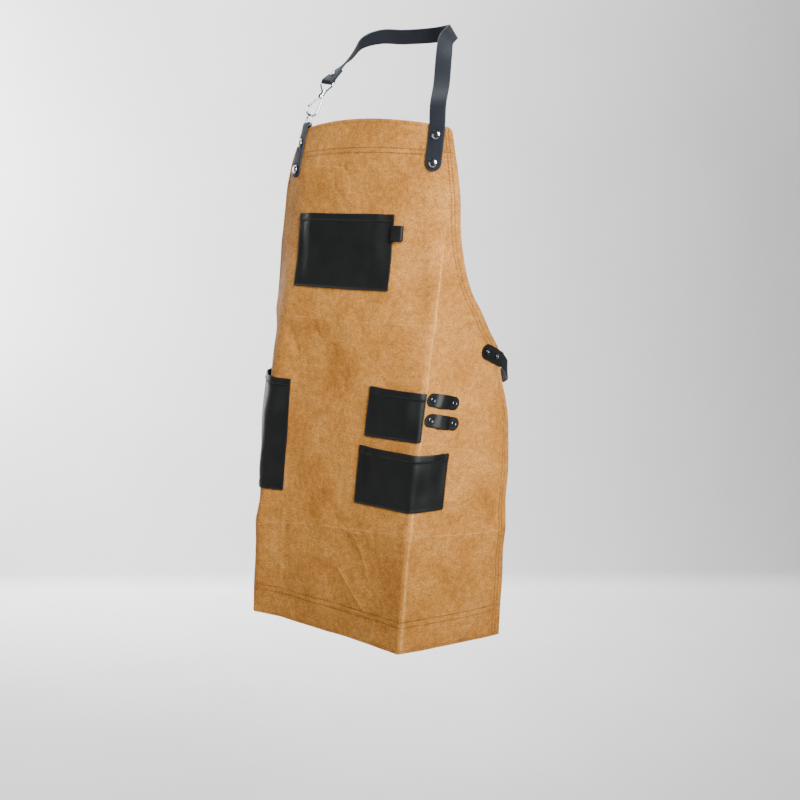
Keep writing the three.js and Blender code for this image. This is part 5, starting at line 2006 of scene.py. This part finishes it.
@dataclass
class Straps:
    """Neck tab, neck strap, waist straps and the buckle behind the back."""

    cloth: Cloth
    fittings: NeckFittings
    finishes: Finishes
    wall: float = STRAP_WALL
    strap_end: float = 79
    strap_lean: float = 4.4
    strap_rivets: tuple[float, float] = (11.5, 52.5)
    tab_end: float = 87
    tab_rivets: tuple[float, float] = (12, 53)
    hole_along: float = 137
    hole_radius: float = 1.7
    waist_width: float = 24
    waist_across: float = 270
    waist_down: float = 355
    waist_slope: float = 21
    waist_drop: float = 48
    waist_reach: float = 15
    past_edge: float = 5
    waist_rivets: tuple[float, float] = (10.8, 43.6)
    buckle_wire: float = 2
    buckle_spacing: float = 22
    step: float = 3

    def build(self) -> None:
        """Builds every strap."""
        self.neck_tab()
        self.neck_strap()
        for hand in Hand:
            self.waist_strap(hand)
        self.buckle()

    def strap(self, rings: Sequence[Array], half: Array, section: Section) -> Shape:
        """One strap from stretches of rings, with its length measured along their middle.

        Args:
            rings: the strap's stretches.
            half: half width of each ring.
            section: its cross-section.

        Returns:
            The closed strap.
        """
        joined = np.concatenate(rings)
        middle = joined.mean(axis=1)
        along = walked(middle)
        return sweep(joined, along, section.outline()[0], half)

    def hung(
        self, lying: Array, half: Array, loose: tuple[Frames, Frames], tail_end: float, section: Section
    ) -> Shape:
        """Strap that lies on the canvas, hangs free, folds round a bar and ends behind itself.

        Args:
            lying: rings of the stretch on the canvas.
            half: their half widths.
            loose: frames of the free stretch and of the fold.
            tail_end: how far its end reaches back from the fold.
            section: the strap's cross-section.

        Returns:
            The closed strap.
        """
        free, fold = loose
        parts = free.part(np.arange(1, len(free.centre) - 1)), fold
        parts += (turned_back(free, self.wall + CLEAR, 9, tail_end),)
        rings = [part.rings(section) for part in parts]
        halves = np.concatenate([half, np.full(sum(len(part) for part in rings), section.width / 2)])
        return self.strap([lying, *rings], halves, section)

    def neck_tab(self) -> None:
        """Leather tab over the top edge of the canvas, folded round the ring's bar."""
        fit, cloth = self.fittings, self.cloth
        section = Section(fit.strap_width, self.wall)
        line = Line(-fit.strap_side, self.tab_end, -90)
        at, half = ringed_stops(section.width / 2, self.tab_end - fit.tab_top - 3, self.step)
        front = np.full(len(at), LAY_CLEAR + self.wall / 2)
        behind = np.full(len(at), -(2 * CANVAS_WALL + LAY_CLEAR + self.wall / 2))
        up = line.rings(cloth, at, half, front, section)
        down = line.rings(cloth, at, half, behind, section, behind=True)[::-1]
        bend = fit.ring_wire + CLEAR + self.wall / 2
        fold = folded(fit.ring_bar, fit.ring_across, fit.ring_out, fit.ring_up, bend).rings(section)
        halves = np.concatenate([half, np.full(len(fold), section.width / 2), half[::-1]])
        shape = self.strap([up, fold, down], halves, section)
        add_piece("neck_tab_leather", shape, self.finishes.strap, ["neck_tab"], crisp=60)
        stack = (LAY_CLEAR + self.wall, 2 * CANVAS_WALL + LAY_CLEAR + self.wall)
        spots = [line.at(place) for place in self.tab_rivets]
        LARGE_RIVET.row(cloth, "neck_tab", spots, stack, self.finishes.chrome)

    def neck_knots(self, rows: dict[str, Array]) -> list[tuple[Array, Array]]:
        """Knots of the neck strap, from shares of its spacing, reach and drop."""
        cloth, side = self.cloth, self.fittings.strap_side
        return [
            (np.array([s * side, -a * cloth.bib_reach, -b * cloth.bib_drop]), facing(turn, rise))
            for s, a, b, turn, rise in zip(*rows.values())
        ]

    def neck_strap(self) -> None:
        """Strap from the left side of the bib, behind the neck, to the hook's eye."""
        fit, cloth = self.fittings, self.cloth
        section = Section(fit.strap_width, self.wall)
        off = LAY_CLEAR + self.wall / 2
        length = self.strap_end - fit.tab_top - 2
        line = Line(fit.strap_side, self.strap_end, self.strap_lean - 90)
        at, half = ringed_stops(section.width / 2, length, self.step)
        on_bib = line.rings(cloth, at, half, np.full(len(at), off), section)
        place = line.at(length)
        nape = facing(180, 26)
        bend = fit.eye_wire + CLEAR + self.wall / 2
        knots = [(cloth.surface(*place, off), cloth.normal(*place)), *self.neck_knots(NECK_LEFT)]
        knots += [(nape * self.wall / 2, nape), *self.neck_knots(NECK_RIGHT)]
        knots += [(fit.eye_bar + fit.eye_face * bend, fit.eye_face)]
        free = route(knots, self.step)
        fold = folded(fit.eye_bar, -fit.eye_across, fit.eye_face, -fit.up, bend)
        shape = self.hung(on_bib, half, (free, fold), 30, section)
        name, finish = "neck_strap", self.finishes.strap
        strap = add_piece(f"{name}_leather", shape, finish, [name], crisp=60)
        self.punch(strap, free)
        stack = (LAY_CLEAR + self.wall, 2 * CANVAS_WALL)
        spots = [line.at(place) for place in self.strap_rivets]
        LARGE_RIVET.row(cloth, "neck_strap", spots, stack, self.finishes.chrome)
        self.fold_rivet("neck_fold_rivet", free, self.finishes.chrome)

    def punch(self, strap: Object, free: Frames) -> None:
        """Cuts the adjusting hole where the strap turns over the shoulder.

        Args:
            strap: the neck strap's object.
            free: its free stretch.
        """
        k = int(np.searchsorted(walked(free.centre), self.hole_along))
        pin = lathe([(self.hole_radius, -4), (self.hole_radius, 4)], free.centre[k], free.normal[k], 24)
        mesh = bpy.data.meshes.new("punch")
        faces = [tuple(p) for group in pin.polygons for p in group.tolist()]
        mesh.from_pydata((pin.points * METRES).tolist(), [], faces)
        cutter = bpy.data.objects.new("punch", mesh)
        bpy.context.scene.collection.objects.link(cutter)
        modifier = strap.modifiers.new("hole", "BOOLEAN")
        modifier.operation = "DIFFERENCE"
        modifier.solver = "EXACT"
        modifier.object = cutter
        graph = bpy.context.evaluated_depsgraph_get()
        cut = bpy.data.meshes.new_from_object(strap.evaluated_get(graph))
        strap.modifiers.clear()
        strap.data = cut
        bpy.data.objects.remove(cutter)

    def fold_rivet(self, name: str, free: Frames, finish: Finish) -> None:
        """Small rivet through a strap and its turned-back end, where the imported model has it.

        Args:
            name: the rivet's node.
            free: the strap's free stretch.
            finish: its finish.
        """
        low, high = (np.array(corner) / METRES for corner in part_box(name))
        k = int(np.argmin(np.linalg.norm(free.centre - (low + high) / 2, axis=-1)))
        shape = SMALL_RIVET.shape(free.centre[k], free.normal[k], self.wall / 2, self.wall * 1.5 + CLEAR)
        add_piece(f"{name}_cap", shape, finish, [name])

    def waist_strap(self, hand: Hand) -> None:
        """Strap from the side of the canvas round to the buckle behind the back.

        Args:
            hand: the wearer's side that it leaves from.
        """
        cloth, side = self.cloth, hand.value
        name = f"waist_strap_{hand.name.lower()}"
        section = Section(self.waist_width, self.wall)
        slope = math.radians(self.waist_slope)
        run = (cloth.half_width - self.waist_across) / math.cos(slope) + self.past_edge
        at, half = ringed_stops(section.width / 2, run, self.step)
        off = LAY_CLEAR + self.wall / 2
        angle = self.waist_slope if hand is Hand.LEFT else 180 - self.waist_slope
        line = Line(side * self.waist_across, self.waist_down, angle)
        on_body = line.rings(cloth, at, half, np.full(len(at), off), section)
        leave = line.at(run)
        start, start_normal = cloth.surface(*leave, off), cloth.normal(*leave)
        back = np.array([0.0, 1.0, 0.0])
        height = float(cloth.plain(np.array(0.0), leave[1])[2]) - self.waist_drop
        bar = np.array([side * self.buckle_spacing / 2, self.waist_reach, height])
        bend = self.buckle_wire + CLEAR + self.wall / 2
        over = bar + back * bend + np.array([side, 0, 0])
        places = [start]
        for share, behind, drop in zip(*WAIST.values()):
            y = start[1] + (self.waist_reach - start[1]) * behind
            places.append(np.array([start[0] * share, y, start[2] + (height - start[2]) * drop]))
        places.append(over)
        knots = [(start, start_normal)]
        for before, here, after in zip(places[:-2], places[1:-1], places[2:]):
            run_to = after - before
            knots.append((here, unit(np.array([run_to[1], -run_to[0], 0]) * side)))
        knots.append((over, back))
        free = route(knots, self.step)
        fold = folded(bar, np.array([0.0, 0.0, -side]), back, np.array([-float(side), 0.0, 0.0]), bend)
        shape = self.hung(on_body, half, (free, fold), 34, section)
        add_piece(f"{name}_leather", shape, self.finishes.pocket, [name], crisp=60)
        spots = [line.at(place) for place in self.waist_rivets]
        stack = (LAY_CLEAR + self.wall, CANVAS_WALL)
        SMALL_RIVET.row(cloth, name, spots, stack, self.finishes.gunmetal)
        self.fold_rivet(f"{name}_fold_rivet", free, self.finishes.gunmetal)

    def buckle(self) -> None:
        """Plain wire frame that joins the two waist straps behind the back."""
        low, high = (np.array(corner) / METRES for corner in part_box("waist_buckle"))
        x, z = self.buckle_spacing / 2, self.waist_width / 2 + CLEAR + self.buckle_wire + 0.5
        spine = rounded_loop([(-x, -z), (x, -z), (x, z), (-x, z)], 1.8)
        wire = tube(spine, self.buckle_wire, closed=True)
        shape = placed(wire, (low + high) / 2, np.array([1.0, 0.0, 0.0]), np.array([0.0, 0.0, 1.0]))
        add_piece("waist_buckle_wire", shape, self.finishes.gunmetal, ["waist_buckle"])


@dataclass(frozen=True)
class SoftLight:
    """Square soft light. Lengths are metres, and spread is how wide a fan it makes, in degrees."""

    name: str
    place: tuple[float, float, float]
    target: tuple[float, float, float]
    size: float
    power: float
    spread: float = 180

    def build(self) -> None:
        """Adds the light, aimed at its target."""
        data = bpy.data.lights.new(self.name, "AREA")
        data.shape = "SQUARE"
        data.size = self.size
        data.energy = self.power
        data.spread = math.radians(self.spread)
        lamp = bpy.data.objects.new(self.name, data)
        lamp.location = self.place
        aim = Vector(self.target) - Vector(self.place)
        lamp.rotation_euler = aim.to_track_quat("-Z", "Y").to_euler()
        bpy.context.scene.collection.objects.link(lamp)


LIGHTS = (
    SoftLight("key", (1.4, -0.9, 0.4), (0.13, -0.17, -0.22), 1.2, 19, spread=64),
    SoftLight("fill", (-1.15, -1.75, -0.5), (0, -0.2, -0.4), 1.6, 6),
    SoftLight("rear", (-1.214, 0.957, 1.807), (-0.839, 1.332, -0.818), 2.0, 188),
    SoftLight("wall_wash", (-3.527, -0.355, 0.307), (-2.652, 1.52, -0.568), 1.5, 172, spread=88),
)


@dataclass(frozen=True)
class Studio:
    """Camera, floor, wall and soft lights. Lengths here are metres."""

    camera_at: tuple[float, float, float] = (1.1063, -1.5784, -0.2296)
    azimuth: float = 36.6
    pitch: float = 11.1
    roll: float = 0.3
    focal_px: float = 1127.4
    photo_px: float = 800
    sensor_mm: float = 36
    floor_height: float = -1.718
    wall_ahead: float = 4.0
    half_span: float = 8.75
    air: str = "#f4f6f8"
    air_strength: float = 0.05

    def build(self, finishes: Finishes) -> None:
        """Makes the camera, the floor with its wall, and the lights.

        Args:
            finishes: every finish.
        """
        self.camera()
        self.backdrop(finishes.paint)
        for light in LIGHTS:
            light.build()
        world = bpy.data.worlds.new("studio_air")
        world.use_nodes = True
        background = world.node_tree.nodes["Background"]
        background.inputs["Color"].default_value = linear(self.air)
        background.inputs["Strength"].default_value = self.air_strength
        bpy.context.scene.world = world

    def camera(self) -> None:
        """Camera at the photograph's angle: rolled, tipped up from straight down, then turned."""
        turns = (self.azimuth, "Z"), (90 - self.pitch, "X"), (-self.roll, "Z")
        turn, tip, roll = (Matrix.Rotation(math.radians(angle), 4, axis) for angle, axis in turns)
        data = bpy.data.cameras.new("camera")
        data.sensor_width = self.sensor_mm
        data.lens = self.focal_px / self.photo_px * self.sensor_mm
        camera = bpy.data.objects.new("camera", data)
        camera.matrix_world = Matrix.Translation(self.camera_at) @ turn @ tip @ roll
        bpy.context.scene.collection.objects.link(camera)
        bpy.context.scene.camera = camera

    def backdrop(self, paint: Material) -> None:
        """Floor and wall as one bent sheet, square to the camera's direction.

        Args:
            paint: material of the floor and wall.
        """
        a = math.radians(self.azimuth)
        back = np.array([math.sin(a), -math.cos(a)])
        right = np.array([math.cos(a), math.sin(a)])
        foot = np.array(self.camera_at[:2]) - back * self.wall_ahead
        profile = [(-5.0, 0.0), (-0.05, 0.0), (-0.015, 0.015), (0.0, 0.05), (0.0, 5.0)]
        points = []
        for side in (-self.half_span, self.half_span):
            for ahead, height in profile:
                spot = foot + right * side - back * ahead
                points.append((*spot, self.floor_height + height))
        count = len(profile)
        faces = [(k, k + 1, count + k + 1, count + k) for k in range(count - 1)]
        mesh = bpy.data.meshes.new("floor_and_wall")
        mesh.from_pydata(points, [], faces)
        mesh.shade_smooth()
        mesh.set_sharp_from_angle(angle=math.radians(60))
        mesh.materials.append(paint)
        floor = bpy.data.objects.new("floor_and_wall", mesh)
        bpy.context.scene.collection.objects.link(floor)


def write_sizes() -> None:
    """Updates the view layer."""
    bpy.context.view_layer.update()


def main() -> None:
    """Builds the studio and every piece of the apron."""
    logging.basicConfig(level=logging.INFO, format="%(message)s")
    finishes = Finishes()
    Studio().build(finishes)
    cloth = Cloth()
    canvas = Canvas(cloth)
    canvas.build(finishes.canvas)
    tan = Thread(pitch=4.6, length=2.7, radius=0.5)
    canvas.sew(tan, WaxedCanvas())
    add_piece("canvas_thread", tan.shape(), finishes.tan_thread)
    black = Thread(pitch=3.5, length=2.2, radius=0.75)
    for pocket in POCKETS:
        pocket.build(cloth, finishes.pocket)
        pocket.sew(cloth, black)
    add_piece("pocket_thread", black.shape(), finishes.black_thread)
    ChestLoop().build(cloth, finishes.pocket)
    ToolLoops().build(cloth, finishes)
    fittings = NeckFittings(cloth, finishes)
    fittings.build()
    Straps(cloth, fittings, finishes).build()
    write_sizes()


if __name__ == "__main__":
    main()
